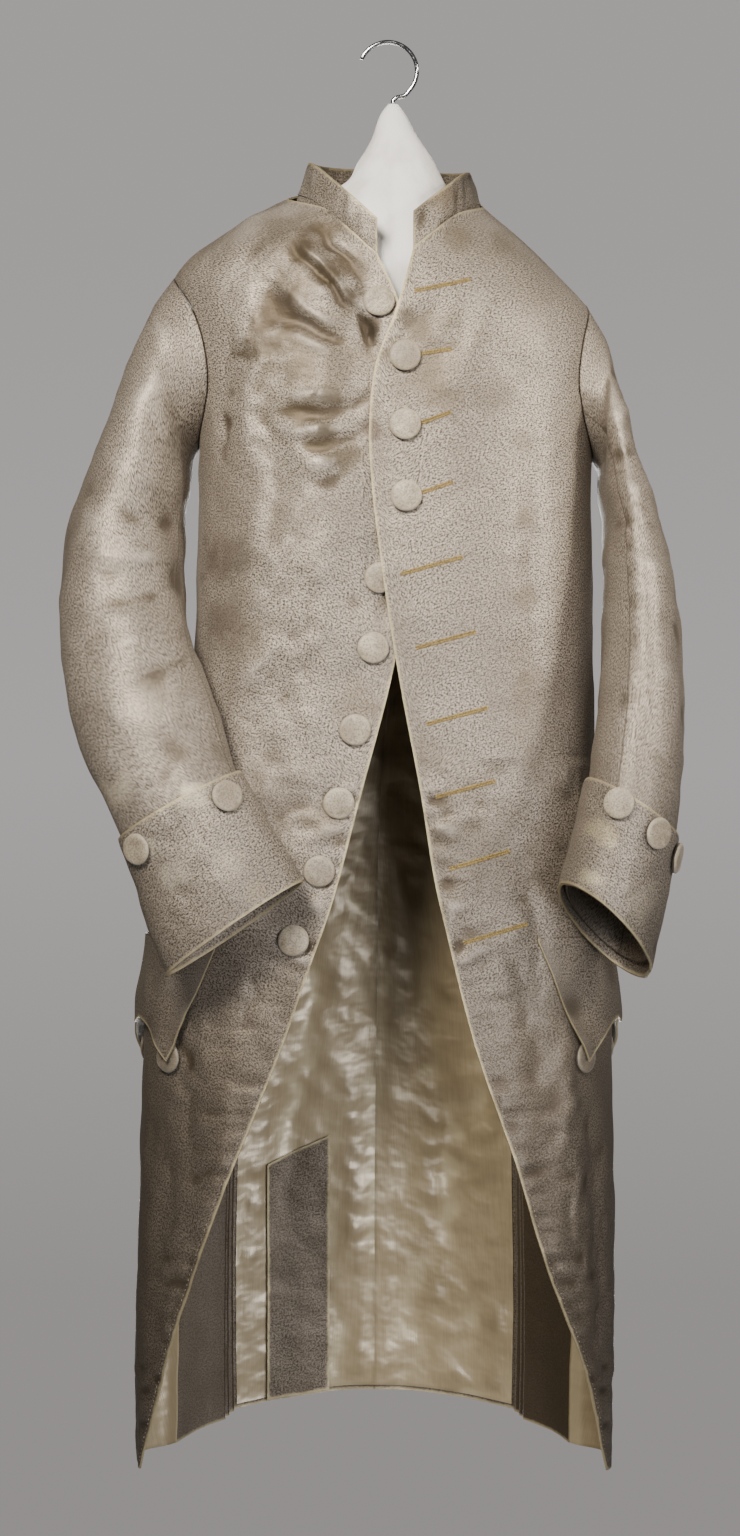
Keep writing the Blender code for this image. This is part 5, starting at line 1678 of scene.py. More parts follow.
@dataclass
class BodyPanels:
    """The fronts, backs, side pleats and linings, which all follow the coat's one surface."""

    form: CoatForm
    front_columns: int = 81
    back_columns: int = 45
    lining_depth: float = 0.0030
    front_lining_rise: float = 0.010  # from the hem to the lining's lower edge
    back_lining_rise: float = 0.004
    rise_reach: float = 0.05  # above the hem, where the lining is drawn up
    long_folds: Unevenness = Unevenness(0.052, 21, stretch=5.0)
    cross_folds: Unevenness = Unevenness(0.030, 22, stretch=0.8)
    underlay: tuple[tuple[float, float], ...] = (  # shares of the last layer's length and of its way up
        (0.0, 0.0), (0.30, 0.22), (0.70, 0.82), (0.90, 1.0), (1.0, 1.0),
    )

    def narrow(self, points: np.ndarray, sides: tuple[str, ...], rows: int | None = None) -> None:
        """Moves the sewn sides of a grid in by half of a closed seam's clear space.

        Args:
            points: the grid, changed in place.
            sides: which sides are sewn: first, last or high.
            rows: how many rows the last side is sewn for.
        """
        if "first" in sides:
            points[:, 0] += unit(points[:, 1] - points[:, 0]) * CLOSED_SEAM / 2
        if "last" in sides:
            points[:rows, -1] += unit(points[:rows, -2] - points[:rows, -1]) * CLOSED_SEAM / 2
        if "high" in sides:
            points[-1] += unit(points[-2] - points[-1]) * CLOSED_SEAM / 2

    def front(self, side: Side, dresser: Dresser) -> None:
        """Makes a front panel and its lining.

        Args:
            side: the wearer's side.
            dresser: what adds the pieces to the scene.
        """
        places, valid = self.form.front_places(side, LOW_ROWS, self.front_columns)
        girth, height = places[..., 0], places[..., 1]
        points = self.form.cloth_point(side, girth, height)
        inward = -self.form.body.normal(girth, height)
        self.narrow(points[:, : self.front_columns + 1], ("high",))
        self.narrow(points, ("last",), SEWN_ROWS)
        wall = Wall(points, points + inward * SILK, ("first", "low"), valid)
        dresser.hang(wall, f"front_{side.word}", Slot.SILK)
        lined = np.s_[: LOW_ROWS + 1, round(FACED_SHARE * self.front_columns) :]
        hem = height[0, lined[1]]
        lining = self.lining(points[lined], inward[lined], hem, self.front_lining_rise)
        dresser.hang(lining, f"lining_front_{side.word}", Slot.SATIN)

    def lining(
        self,
        points: np.ndarray,
        inward: np.ndarray,
        hem: np.ndarray,
        rise: float,
        valid: np.ndarray | None = None,
    ) -> Wall:
        """Works out a satin lining just inside a panel, up to the armpit, wrinkled inwards only.

        Args:
            points: the panel's points up to the armpit.
            inward: the ways in at the points.
            hem: the hem's height at each column.
            rise: how far above the hem the lining ends.
            valid: which of the points exist, or None for all.

        Returns:
            The lining.
        """
        long_folds, cross_folds = self.long_folds.read(points), self.cross_folds.read(points)
        deep = np.clip(0.5 + 0.5 * long_folds, 0, 1.2) * 0.75 + np.clip(cross_folds, 0, 1) * 0.25
        across, up = Wall(points, points).lengths()
        away = np.minimum.reduce([across, across[:, -1:] - across, up])
        if valid is not None:
            last = across[np.arange(len(across)), valid.sum(axis=1) - 1][:, None]
            away = np.minimum(away, np.maximum(last - across, 0))
        move = deep * self.lining_depth * step(away, 0.001, 0.016)
        lift = np.clip(1 - (points[..., 2] - hem) / self.rise_reach, 0, 1) * rise
        raised = points + lift[..., None] * np.array([0, 0, 1.0])
        outer = raised + inward * (SILK + LINING_SPACE + move)[..., None]
        return Wall(outer, outer + inward * SATIN, ("low", "first"), valid)

    def back(self, side: Side, dresser: Dresser) -> None:
        """Makes a back panel and its lining.

        Args:
            side: the wearer's side.
            dresser: what adds the pieces to the scene.
        """
        form = self.form
        places = form.back_places(side, LOW_ROWS, self.back_columns)
        girth, height = places[..., 0], places[..., 1]
        points = form.cloth_point(side, girth, height)
        inward = -form.body.normal(girth, height)
        self.narrow(points, ("first", "high"))
        self.narrow(points, ("last",), SEWN_ROWS)
        wall = Wall(points, points + inward * SILK, ("low",))
        dresser.hang(wall, f"back_{side.word}", Slot.SILK)
        points, inward = points[: LOW_ROWS + 1], inward[: LOW_ROWS + 1]
        valid = np.ones(points.shape[:-1], bool)
        for row in range(LOW_ROWS + 1):
            level = form.level(row / LOW_ROWS)
            if level > HIP_HEIGHT + form.notch_height:
                break
            reach = (form.side_back("depth", level) + PLEATS_CLEAR) / form.body.half_girth(side, level)
            limit = form.side_back("girth", level) + reach
            valid[row] = np.abs(girth[row]) > limit
            last = int(valid[row].sum())
            before, after = np.abs(girth[row, last - 1 : last + 1])
            share = (limit - before) / (after - before)
            for grid in (points, inward):
                grid[row, last] = grid[row, last - 1] + (grid[row, last] - grid[row, last - 1]) * share
            valid[row, last] = True
        lining = self.lining(points, inward, height[0], self.back_lining_rise, valid)
        dresser.hang(lining, f"lining_back_{side.word}", Slot.SATIN)

    def pleat_path(self, level: float) -> np.ndarray:
        """The pleats seen from above.

        Args:
            level: the height that their sizes are read at.

        Returns:
            Rows of the distance forwards from the back panel's edge, and the depth below the surface.
        """
        form = self.form
        step_on, deep, layer = (form.side_back(name, level) for name in ("step", "depth", "layer"))
        middle, radius = PLEAT_WALL / 2, layer / 2
        angles = np.radians([90, 60, 30, 0, -30, -60, -90])
        bend = np.stack([np.cos(angles), 1 - np.sin(angles)], axis=1) * radius
        path = [[(SEAM, middle)]]
        for pleat in range(PLEATS):
            edge = 2 * SEAM + pleat * step_on
            top = middle + 2 * pleat * layer
            path += [bend + (edge, top), [(edge - deep * share, top + layer) for share in (0.25, 0.5, 0.75)]]
            path.append(bend * (-1, 1) + (edge - deep, top + layer))
            path.append([(edge - deep * share, top + 2 * layer) for share in (0.75, 0.5, 0.25)])
        start = 2 * SEAM + (PLEATS - 1) * step_on + radius + 0.001
        bottom = middle + 2 * PLEATS * layer
        end = form.stack_width(level) - SEAM
        along = np.linspace(0, 1, 13)
        up = np.interp(along, *zip(*self.underlay))
        path.append(np.stack([start + (end - start) * along, bottom + (middle - bottom) * up], axis=1))
        return np.concatenate(path)

    def pleats(self, side: Side, dresser: Dresser, rows: int = 110) -> None:
        """Makes the stack of side pleats.

        Args:
            side: the wearer's side.
            dresser: what adds the pieces to the scene.
            rows: its rows from the hem to the hip.
        """
        form = self.form
        hip_share = (HIP_HEIGHT - FRONT_HEM) / (ARMPIT_HEIGHT - FRONT_HEM)
        grid = []
        for share in np.linspace(0, hip_share, rows + 1):
            level = form.level(share)
            path = self.pleat_path(level)
            girth = side * (form.side_back("girth", level) - path[:, 0] / form.body.half_girth(side, level))
            grid.append(form.cloth_point(side, girth, form.row_height(girth, share), -path[:, 1]))
        points = np.array(grid)
        normals = grid_normals(points)
        normals[:, -1] = normals[:, -2]
        half = normals * PLEAT_WALL / 2
        wall = Wall(points + half, points - half, ("low",))
        made = dresser.hang(wall, f"pleats_{side.word}", Slot.SILK)
        made.data.materials.append(dresser.finishes[Slot.SATIN])
        columns = points.shape[1] - 1
        for face in made.data.polygons[: 2 * rows * columns]:
            inside = face.normal.xy.dot(face.center.xy) < 0
            if inside and face.index % columns > columns - UNDERLAY_COLUMNS:
                face.material_index = 1

    def vent_facing(self, dresser: Dresser, rows: int = 60, columns: int = 16) -> None:
        """Makes the strip of silk inside the right edge of the back vent.

        Args:
            dresser: what adds the pieces to the scene.
            rows: its rows.
            columns: its columns.
        """
        form = self.form
        grid = []
        top_share = (FACING_TOP - FRONT_HEM) / (ARMPIT_HEIGHT - FRONT_HEM)
        for along in np.linspace(0, 1, rows + 1):
            share = top_share * along
            level = form.level(share)
            ends = [form.body.girth_at(offset, level, back=True) for offset in FACING_OFFSETS]
            girths = np.linspace(*ends, columns + 1)
            heights = form.row_height(girths, share) + 0.003 * (1 - along)
            heights = heights + np.linspace(0.0, 0.020, columns + 1) * step(along, 0.6, 1.0)
            grid.append(np.stack([girths, heights], axis=1))
        places = np.array(grid)
        down = -SILK - 2 * LINING_SPACE - SATIN - 0.0012
        girth, height = places[..., 0], places[..., 1]
        soft = Unevenness(0.060, 31, stretch=3.0).read(form.body.point(girth, height)) * 0.0008 - 0.0008
        points = form.cloth_point(Side.RIGHT, girth, height, down - self.lining_depth + soft)
        inward = -form.body.normal(girth, height)
        wall = Wall(points, points + inward * SATIN, ("low", "first", "last", "high"))
        dresser.hang(wall, "vent_facing", Slot.SILK)

    def dress(self, dresser: Dresser) -> None:
        """Makes all the panels.

        Args:
            dresser: what adds the pieces to the scene.
        """
        for side in Side:
            self.front(side, dresser)
            self.back(side, dresser)
            self.pleats(side, dresser)
        self.vent_facing(dresser)


@dataclass
class Collar:
    """The low standing collar."""

    form: CoatForm
    columns: int = 150
    rows: int = 10
    soft: float = 0.0008
    drawn: float = 0.0009

    def dress(self, dresser: Dresser) -> None:
        """Makes the collar.

        Args:
            dresser: what adds the pieces to the scene.
        """
        base = self.form.neck_route(self.columns + 1)
        inward = unit((np.array([0.004, 0.0, 0.0]) - base) * (1, 1, 0))
        behind = step(base[:, 1], -0.085, -0.02)[:, None]
        way = unit(np.array([0, 0, 1.0]) + inward * COLLAR_LEAN * behind)
        shares = np.linspace(0, 1, self.rows + 1)[:, None, None]
        points = base + way * (SEAM + COLLAR_HEIGHT * shares)
        uneven = Unevenness(0.045, 41).read(points) * self.soft
        uneven += Unevenness(0.017, 43, stretch=5.0).read(points) * self.drawn
        points = points + inward * (uneven * np.sin(math.pi * shares[..., 0]) ** 0.5)[..., None]
        under = [base + inward * COLLAR_UNDER - way * drop for drop in (COLLAR_TUCK, SEAM)]
        points = np.concatenate([under, points])
        wall = Wall(points, points + inward * COLLAR_WALL, ("first", "last", "high"))
        dresser.hang(wall, "collar", Slot.SILK)


def ring_points(ring: SleeveRing, angles: Any, grow: float = 0.0) -> np.ndarray:
    """Works out points of a sleeve's ring.

    Args:
        ring: the ring.
        angles: the angles from its outer point forwards.
        grow: how much further out the points lie.

    Returns:
        A point for each angle.
    """
    angles = np.asarray(angles, float)[..., None]
    outer, inner = np.array([ring.outer_x, 0, ring.outer_z]), np.array([ring.inner_x, 0, ring.inner_z])
    half = (outer - inner) / 2
    half = half * (1 + grow / np.linalg.norm(half))
    deep = (ring.depth + grow) * np.array([0, -1, ring.slant])
    middle = (outer + inner) / 2 + np.array([0, ring.y, 0])
    return middle + half * np.cos(angles) + deep * np.sin(angles)


def cuff_points(side: Side, angles: Any, share: float, grow: float = 0.0) -> np.ndarray:
    """Points round a cuff at a share of its length."""
    top, end = CUFFS[side]
    return ring_points(top, angles, grow) * (1 - share) + ring_points(end, angles, grow) * share


@dataclass
class Sleeves:
    """The two-piece sleeves and their deep cuffs."""

    form: CoatForm
    rows: int = 150
    sides_in_one: int = 4  # fine sides for each side of the solids
    swell: float = 0.0012
    ripple: float = 0.0004
    cuff_rows: int = 44
    cuff_sides: int = 140

    def angles(self) -> np.ndarray:
        """Works out the angles of the sleeve's fine sides, with the solids' own among them.

        Returns:
            The angles from its outer point forwards.
        """
        fore = [UNDERARM_START * n / ARMHOLE_ROWS for n in range(ARMHOLE_ROWS)]
        under = np.linspace(UNDERARM_START, SIDE_BACK_MEETS, UNDERARM_SIDES + 1)
        hind = np.linspace(SIDE_BACK_MEETS, FULL_TURN, ARMHOLE_ROWS + 1)[1:]
        marks = np.array([*fore, *under, *hind])
        fine = np.linspace(0, len(marks) - 1, (len(marks) - 1) * self.sides_in_one + 1)[:-1]
        return np.interp(fine, np.arange(len(marks)), marks)

    def surface(self, side: Side) -> np.ndarray:
        """Works out the sleeve's smooth outer face, from inside the armhole to inside the cuff's end.

        Args:
            side: the wearer's side.

        Returns:
            The grid of its points.
        """
        angles = self.angles()
        places = np.array([self.form.armhole_place(side, angle) for angle in angles])
        edge = self.form.body.point(places[:, 0], places[:, 1])
        normal = self.form.body.normal(places[:, 0], places[:, 1])
        way = edge.mean(axis=0) - edge
        way = unit(way - normal * np.sum(way * normal, axis=1, keepdims=True))
        rings = [edge + normal * SLEEVE_OUT + way * SLEEVE_IN]
        rings += [ring_points(ring, angles) for ring in SLEEVES[side]]
        rings += [cuff_points(side, angles, share, -space) for share, space in SLEEVE_IN_CUFF]
        rings = np.array(rings)
        marks = np.arange(len(rings), dtype=float)
        fine = np.linspace(0, marks[-1], self.rows + 1)
        weights = np.stack([smooth(fine, marks, row) for row in np.eye(len(rings))])
        return np.tensordot(weights.T, rings, axes=(1, 0))

    def creases(self, side: Side, points: np.ndarray, normals: np.ndarray) -> np.ndarray:
        """Works out the sleeve's creases, still along the armhole and slight inside the cuff.

        Args:
            side: the wearer's side.
            points: the sleeve's points.
            normals: the ways out there.

        Returns:
            How far the cloth moves out at each point.
        """
        front = step(-normals[..., 1], -0.25, 0.35)
        moved = np.zeros(points.shape[:-1])
        for crease in SLEEVE_CREASES[side]:
            moved += crease.read(points[..., 0], points[..., 2]) * front
            moved_ends = {"z0": crease.z0 - 0.012, "z1": crease.z1 - 0.020}
            low = replace(crease, **moved_ends, height=-crease.height, bow=-crease.bow)
            moved += low.read(points[..., 0], points[..., 2]) * (1 - front) * 0.9
        moved += Unevenness(0.085, 51 + side, stretch=1.3).read(points) * self.swell
        moved += Unevenness(0.030, 55 + side).read(points) * self.ripple
        away = lengths_along(points, 0)
        in_cuff = cuff_points(side, self.angles(), 0.0)[:, 2].mean()
        near_cuff = 1 - 0.75 * step(-points[..., 2], -in_cuff - 0.02, -in_cuff + 0.02)
        return moved * step(away, 0.002, 0.035) * near_cuff

    def sleeve(self, side: Side, dresser: Dresser) -> None:
        """Makes a sleeve's two panels.

        Args:
            side: the wearer's side.
            dresser: what adds the pieces to the scene.
        """
        grid = self.surface(side)
        normals = grid_normals(grid, round_about=True)
        if np.sum(normals * (grid - grid.mean(axis=1, keepdims=True))) < 0:
            normals = -normals
        grid = grid + normals * self.creases(side, grid, normals)[..., None]
        sides = grid.shape[1]
        fore, hind = (place * self.sides_in_one for place in SLEEVE_SEAMS[side])
        upper = [n % sides for n in range(hind, sides + fore + 1)]
        under = list(range(fore, hind + 1))
        for name, columns in (("upper", upper), ("under", under)):
            points = grid[:, columns].copy()
            points[:, 0] += unit(points[:, 1] - points[:, 0]) * CLOSED_SEAM / 2
            points[:, -1] += unit(points[:, -2] - points[:, -1]) * CLOSED_SEAM / 2
            wall = Wall(points, points - normals[:, columns] * SILK)
            dresser.hang(wall, f"sleeve_{name}_{side.word}", Slot.SILK)

    def cuff(self, side: Side, dresser: Dresser) -> None:
        """Makes a cuff, slightly wavy and rolled at its edges.

        Args:
            side: the wearer's side.
            dresser: what adds the pieces to the scene.
        """
        angles = turns(self.cuff_sides)
        shares = np.linspace(0, 1, self.cuff_rows + 1)
        outer = np.array([cuff_points(side, angles, share) for share in shares])
        inner = np.array([cuff_points(side, angles, share, -CUFF_WALL) for share in shares])
        soft = Unevenness(0.060, 61 + side).read(outer) * 0.0008 + Unevenness(0.022, 63).read(outer) * 0.0003
        out = unit(outer - inner)
        rolled = np.minimum(shares, 1 - shares)[:, None] * 0.12
        soft = soft - 0.0006 * np.exp(-((rolled / 0.003) ** 2))
        moved = out * soft[..., None]
        wall = Wall(outer + moved, inner + moved, ("low", "high"), round_about=True)
        dresser.hang(wall, f"cuff_{side.word}", Slot.SILK)

    def dress(self, dresser: Dresser) -> None:
        """Makes both sleeves and their cuffs."""
        for side in Side:
            self.sleeve(side, dresser)
            self.cuff(side, dresser)


@dataclass
class Flaps:
    """The scalloped pocket flaps, each standing a little off its skirt along its lower edge."""

    form: CoatForm
    rows: int = 22
    columns_in_one: int = 7
    longer: float = 1.05  # the cloth's edge rolls down past its solid's

    def outline(self) -> tuple[np.ndarray, np.ndarray]:
        """Works out the lower edge.

        Returns:
            How far along the flap each of its places lies, and how deep.
        """
        alongs, deeps = np.array(column(FLAP_SHAPE, "along")), np.array(column(FLAP_SHAPE, "deep"))
        marks = (0, *FLAP_TIPS, len(FLAP_SHAPE) - 1)
        along, deep = [alongs[0]], [deeps[0]]
        for start, end in zip(marks, marks[1:]):
            here = slice(start, end + 1)
            fine = np.linspace(alongs[start], alongs[end], (end - start) * self.columns_in_one + 1)[1:]
            along += list(fine)
            deep += list(smooth(fine, alongs[here], deeps[here]))
        return np.array(along), np.array(deep)

    def place(self, side: Side, along: np.ndarray, drop: np.ndarray) -> tuple[np.ndarray, np.ndarray]:
        """Places a flap's points on its skirt.

        Args:
            side: the wearer's side.
            along: how far along the flap each lies.
            drop: how far below its top.

        Returns:
            The points, and the ways out of the coat there.
        """
        form = self.form
        start = form.body.girth_at(side * FLAP_START, FLAP_TOP)
        girth = start + side * along / float(form.body.half_girth(side, FLAP_TOP))
        height = FLAP_TOP - drop
        stand = FLAP_SPACE + SILK + FLAP_STAND * (np.maximum(drop, 0) / FLAP_DEPTH) ** 1.4
        return form.cloth_point(side, girth, height, stand), form.body.normal(girth, height)

    def dress(self, dresser: Dresser) -> None:
        """Makes both flaps.

        Args:
            dresser: what adds the pieces to the scene.
        """
        along, deep = self.outline()
        drop = deep * self.longer * np.linspace(0, 1, self.rows + 1)[:, None]
        for side in Side:
            points, normals = self.place(side, np.broadcast_to(along, drop.shape), drop)
            soft = Unevenness(0.050, 71 + side).read(points) * 0.0012 * step(drop, 0.01, 0.06)
            points = points + normals * soft[..., None]
            wall = Wall(points, points - normals * SILK, ("first", "last", "high"))
            dresser.hang(wall, f"flap_{side.word}", Slot.SILK)


@dataclass
class Buttons:
    """The self-covered disc buttons."""

    form: CoatForm
    sides: int = 48
    profile: tuple[tuple[float, float], ...] = (  # share of the radius, share of the height, from the top
        (0.00, 0.99), (0.14, 0.985), (0.28, 0.975), (0.42, 0.96), (0.56, 0.935), (0.68, 0.90), (0.78, 0.86),
        (0.86, 0.80), (0.92, 0.72), (0.965, 0.61), (0.99, 0.50), (1.00, 0.38), (0.98, 0.24), (0.93, 0.10),
        (0.84, 0.02), (0.60, 0.00), (0.30, 0.00), (0.00, 0.00),
    )

    def disc(self, name: str, place: np.ndarray, normal: np.ndarray, seed: int) -> Mesh:
        """Makes a button's mesh in its place.

        Args:
            name: the mesh's name.
            place: the point of the cloth under the button's middle.
            normal: the way that the button faces.
            seed: the seed of its unevenness.

        Returns:
            The mesh, with each point's share of the radius in the attribute rim, over 1 underneath.
        """
        rings = np.array(self.profile[1:-1])
        radius = rings[:, :1] * BUTTON_RADIUS
        x, y = radius * np.cos(turns(self.sides)), radius * np.sin(turns(self.sides))
        z = np.broadcast_to(rings[:, 1:] * BUTTON_HEIGHT, x.shape)
        middles = [(0, 0, 0.97 * BUTTON_HEIGHT), (0, 0, 0)]
        points = np.concatenate([np.stack([x, y, z], axis=-1).reshape(-1, 3), middles])
        uneven = Unevenness(0.011, seed).read(points) * 0.00022
        points[:, 2] = np.maximum(points[:, 2] + uneven * (points[:, 2] > 0.2 * BUTTON_HEIGHT), 0)
        count, sides = len(rings), self.sides
        grid = points[: count * sides].reshape(count, sides, 3)
        faces = np.roll(Wall(grid, grid, round_about=True).quads()[0][:, ::-1], 1, axis=1).tolist()
        top, foot = count * sides, count * sides + 1
        faces += [(n, (n + 1) % sides, top) for n in range(sides)]
        last = (count - 1) * sides
        faces += [(last + (n + 1) % sides, last + n, foot) for n in range(sides)]
        turned = Vector(normal).to_track_quat("Z", "Y").to_matrix()
        spin = Matrix.Rotation(seed * 1.7, 3, "Z")
        placed = points @ np.array(turned @ spin).T + place + np.asarray(normal) * BUTTON_SPACE
        mesh = bpy.data.meshes.new(name)
        mesh.from_pydata(placed.tolist(), [], faces)
        share = np.repeat(rings[:, 0] + (rings[:, 1] < 0.4) * (1.0 - rings[:, 1]), sides)
        add_values(mesh, "rim", np.concatenate([share, [0.0, 2.0]]))
        mesh.shade_smooth()
        return mesh

    def places(self) -> dict[str, tuple[np.ndarray, np.ndarray]]:
        """Finds where the buttons are sewn.

        Returns:
            Each button's point on the cloth, and the way that it faces.
        """
        form, found = self.form, {}
        reach = BUTTON_RADIUS * 0.8
        for number, (height, offset, side) in enumerate(FRONT_BUTTONS, 1):
            girth = form.body.girth_at(offset, height)
            found[f"button_front_{number:02d}"] = form.on_cloth(side, girth, height, reach)
        for side, places in CUFF_BUTTONS.items():
            for number, (angle, share) in enumerate(places, 1):
                found[f"button_cuff_{side.word}_{number}"] = self.on_cuff(side, math.radians(angle), share)
        for side in Side:
            for number, along in enumerate(FLAP_BUTTONS, 1):
                start = form.body.girth_at(side * FLAP_START, FLAP_TOP)
                girth = start + side * along / float(form.body.half_girth(side, FLAP_TOP))
                place = form.on_cloth(side, girth, FLAP_TOP - FLAP_BUTTON_DROP, reach)
                found[f"button_flap_{side.word}_{number}"] = place
            level = HIP_HEIGHT + HIP_BUTTON_ABOVE
            ahead = HIP_BUTTON_AHEAD / form.body.half_girth(side, level)
            girth = side * (form.side_back("girth", level) - ahead)
            found[f"button_hip_{side.word}"] = form.on_cloth(side, float(girth), level, reach)
        return found

    def on_cuff(self, side: Side, angle: float, share: float) -> tuple[np.ndarray, np.ndarray]:
        """Finds a point of a cuff.

        Args:
            side: the wearer's side.
            angle: the angle from its outer edge forwards.
            share: the share of its length.

        Returns:
            The point, and the way out there.
        """
        here = cuff_points(side, angle, share)
        along = cuff_points(side, angle, share + 0.01) - here
        around = cuff_points(side, angle + 0.02, share) - here
        normal = unit(np.cross(along, around))
        middle = (cuff_points(side, 0, share) + cuff_points(side, math.pi, share)) / 2
        return here, normal if normal @ (here - middle) > 0 else -normal

    def dress(self, dresser: Dresser) -> None:
        """Makes all the buttons."""
        for number, (node, (place, normal)) in enumerate(self.places().items(), 1):
            dresser.add(self.disc(f"{node}_covered", place, normal, number), Slot.BUTTON, (node,))


@dataclass
class Hanger:
    """The padded hanger that holds the coat: a muslin-covered form and a wire hook."""

    levels: int = 120
    sides: int = 160
    folds: tuple[Crease, ...] = (
        Crease(0.0030, -0.108, 0.0045, -0.200, 0.0060, -0.0030, 0.002),
        Crease(-0.010, -0.112, -0.030, -0.190, 0.0080, 0.0015),
        Crease(0.016, -0.112, 0.034, -0.180, 0.0080, 0.0015),
    )
    wire_sides: int = 20
    wire_rings: int = 110
    wire_end: tuple[float, ...] = (0.55, 0.85, 0.97)  # shares of the wire's radius on its rounded tip

    def pad(self, dresser: Dresser) -> None:
        """Makes the padding, softly folded down its middle.

        Args:
            dresser: what adds the pieces to the scene.
        """
        rings = Rings(PAD)
        heights = np.linspace(rings.high - 1e-5, rings.low + 1e-5, self.levels + 1)[:, None]
        girths = np.linspace(-1, 1, self.sides + 1)[:-1]
        points, normals = rings.point(girths, heights), rings.normal(girths, heights)
        x, z = points[..., 0], points[..., 2]
        moved = creased(self.folds, x, z, step(-normals[..., 1], -0.2, 0.3))
        moved += Unevenness(0.050, 81, stretch=1.6).read(points) * 0.0009
        moved *= step(rings.high - z, 0.002, 0.030)
        mesh = tube_mesh("hanger_pad_muslin", points + normals * moved[..., None])
        dresser.add(mesh, Slot.MUSLIN, ("hanger_pad",))

    def hook(self, dresser: Dresser) -> None:
        """Makes the wire hook: an arc over the rail, then down into the padding.

        Args:
            dresser: what adds the pieces to the scene.
        """
        arc = [
            (HOOK_RADIUS * math.cos(angle), HOOK_RADIUS * (math.sin(angle) - 1) + HOOK_WIRE)
            for angle in np.linspace(HOOK_TIP, HOOK_TURN, 16)
        ]
        path = even_route(np.array([(x, 0.0, z) for x, z in (*arc, *HOOK_FOOT)]), self.wire_rings + 1)
        across = np.cross(unit(np.gradient(path, axis=0)), (0, 1.0, 0))[:, None]
        turn = turns(self.wire_sides)[:, None]
        radius = np.full(len(path), HOOK_WIRE)
        radius[: len(self.wire_end)] *= self.wire_end
        round_it = across * np.cos(turn) + np.array([0, 1.0, 0]) * np.sin(turn)
        mesh = tube_mesh("hanger_hook_wire", path[:, None] + radius[:, None, None] * round_it)
        mesh.set_sharp_from_angle(angle=math.radians(60))
        dresser.add(mesh, Slot.STEEL, ("hanger_hook",))

    def dress(self, dresser: Dresser) -> None:
        """Makes the hanger."""
        self.pad(dresser)
        self.hook(dresser)


# ---------------------------------------------------------------- needlework


class RowTree:
    """A Geometry Nodes tree that lays stitches along a line, each turned to it and lying on the cloth."""

    INPUTS = (("Spacing", 0.0024), ("Length", 0.0016), ("Thickness", 0.0005), ("Slant", 0.0))

    def __init__(self) -> None:
        """Builds the tree once, for all rows."""
        self.tree = bpy.data.node_groups.new("stitch_row", "GeometryNodeTree")
        face = self.tree.interface
        face.new_socket("Geometry", in_out="INPUT", socket_type="NodeSocketGeometry")
        self.ids = {name: self.number(name, value) for name, value in self.INPUTS}
        thread = face.new_socket("Thread", in_out="INPUT", socket_type="NodeSocketMaterial")
        self.ids["Thread"] = thread.identifier
        face.new_socket("Geometry", in_out="OUTPUT", socket_type="NodeSocketGeometry")
        start = add_node(self.tree, "NodeGroupInput").outputs
        line = self.step("MeshToCurve", {0: start["Geometry"]})
        kept = self.step("ResampleCurve", {"Curve": line, "Length": start["Spacing"]}, mode="LENGTH")
        ball = self.step("MeshUVSphere", {"Segments": 8, "Rings": 6, "Radius": 0.5})
        way_out = self.step("InputNamedAttribute", {"Name": "out"}, data_type="FLOAT_VECTOR")
        ways = {0: way_out, 1: self.step("InputTangent", {})}
        axes = {"primary_axis": "Z", "secondary_axis": "X"}
        upright = add_node(self.tree, "FunctionNodeAxesToRotation", axes, ways).outputs[0]
        angle = add_node(self.tree, "ShaderNodeCombineXYZ", None, {"Z": start["Slant"]}).outputs[0]
        local, turn = {"rotation_space": "LOCAL"}, {0: upright, 1: angle}
        turned = add_node(self.tree, "FunctionNodeRotateRotation", local, turn).outputs[0]
        sizes = {"X": start["Length"], "Y": start["Thickness"], "Z": start["Thickness"]}
        size = add_node(self.tree, "ShaderNodeCombineXYZ", None, sizes).outputs[0]
        placed = {"Points": kept, "Instance": ball, "Rotation": turned, "Scale": size}
        real = self.step("RealizeInstances", {0: self.step("InstanceOnPoints", placed)})
        made = self.step("SetMaterial", {"Geometry": real, "Material": start["Thread"]})
        add_node(self.tree, "NodeGroupOutput", None, {0: made})

    def step(self, kind: str, inputs: dict[str | int, Any], **settings: Any) -> NodeSocket:
        """Adds one step on the geometry and gives back its result."""
        return add_node(self.tree, f"GeometryNode{kind}", settings, inputs).outputs[0]

    def number(self, name: str, value: float) -> str:
        """Adds a named number input and gives back its identifier."""
        made = self.tree.interface.new_socket(name, in_out="INPUT", socket_type="NodeSocketFloat")
        made.default_value = value
        return made.identifier



@dataclass(frozen=True)
class Line:
    """Points on the cloth and the ways out of it there."""

    points: np.ndarray
    out: np.ndarray


@dataclass(frozen=True)
class Stitch:
    """A kind of stitch: the way from one to the next, its length and thickness, and how far it's turned."""

    spacing: float
    length: float
    thickness: float
    slant: float = 0.0


PRICK = Stitch(0.0046, 0.0017, 0.00050, 0.35)
BAR = Stitch(0.0008, 0.0021, 0.0010, math.pi / 2)
WHIP = Stitch(0.0022, 0.0019, 0.00050, 0.8)
SLIP = Stitch(0.0050, 0.0022, 0.00050, 0.1)


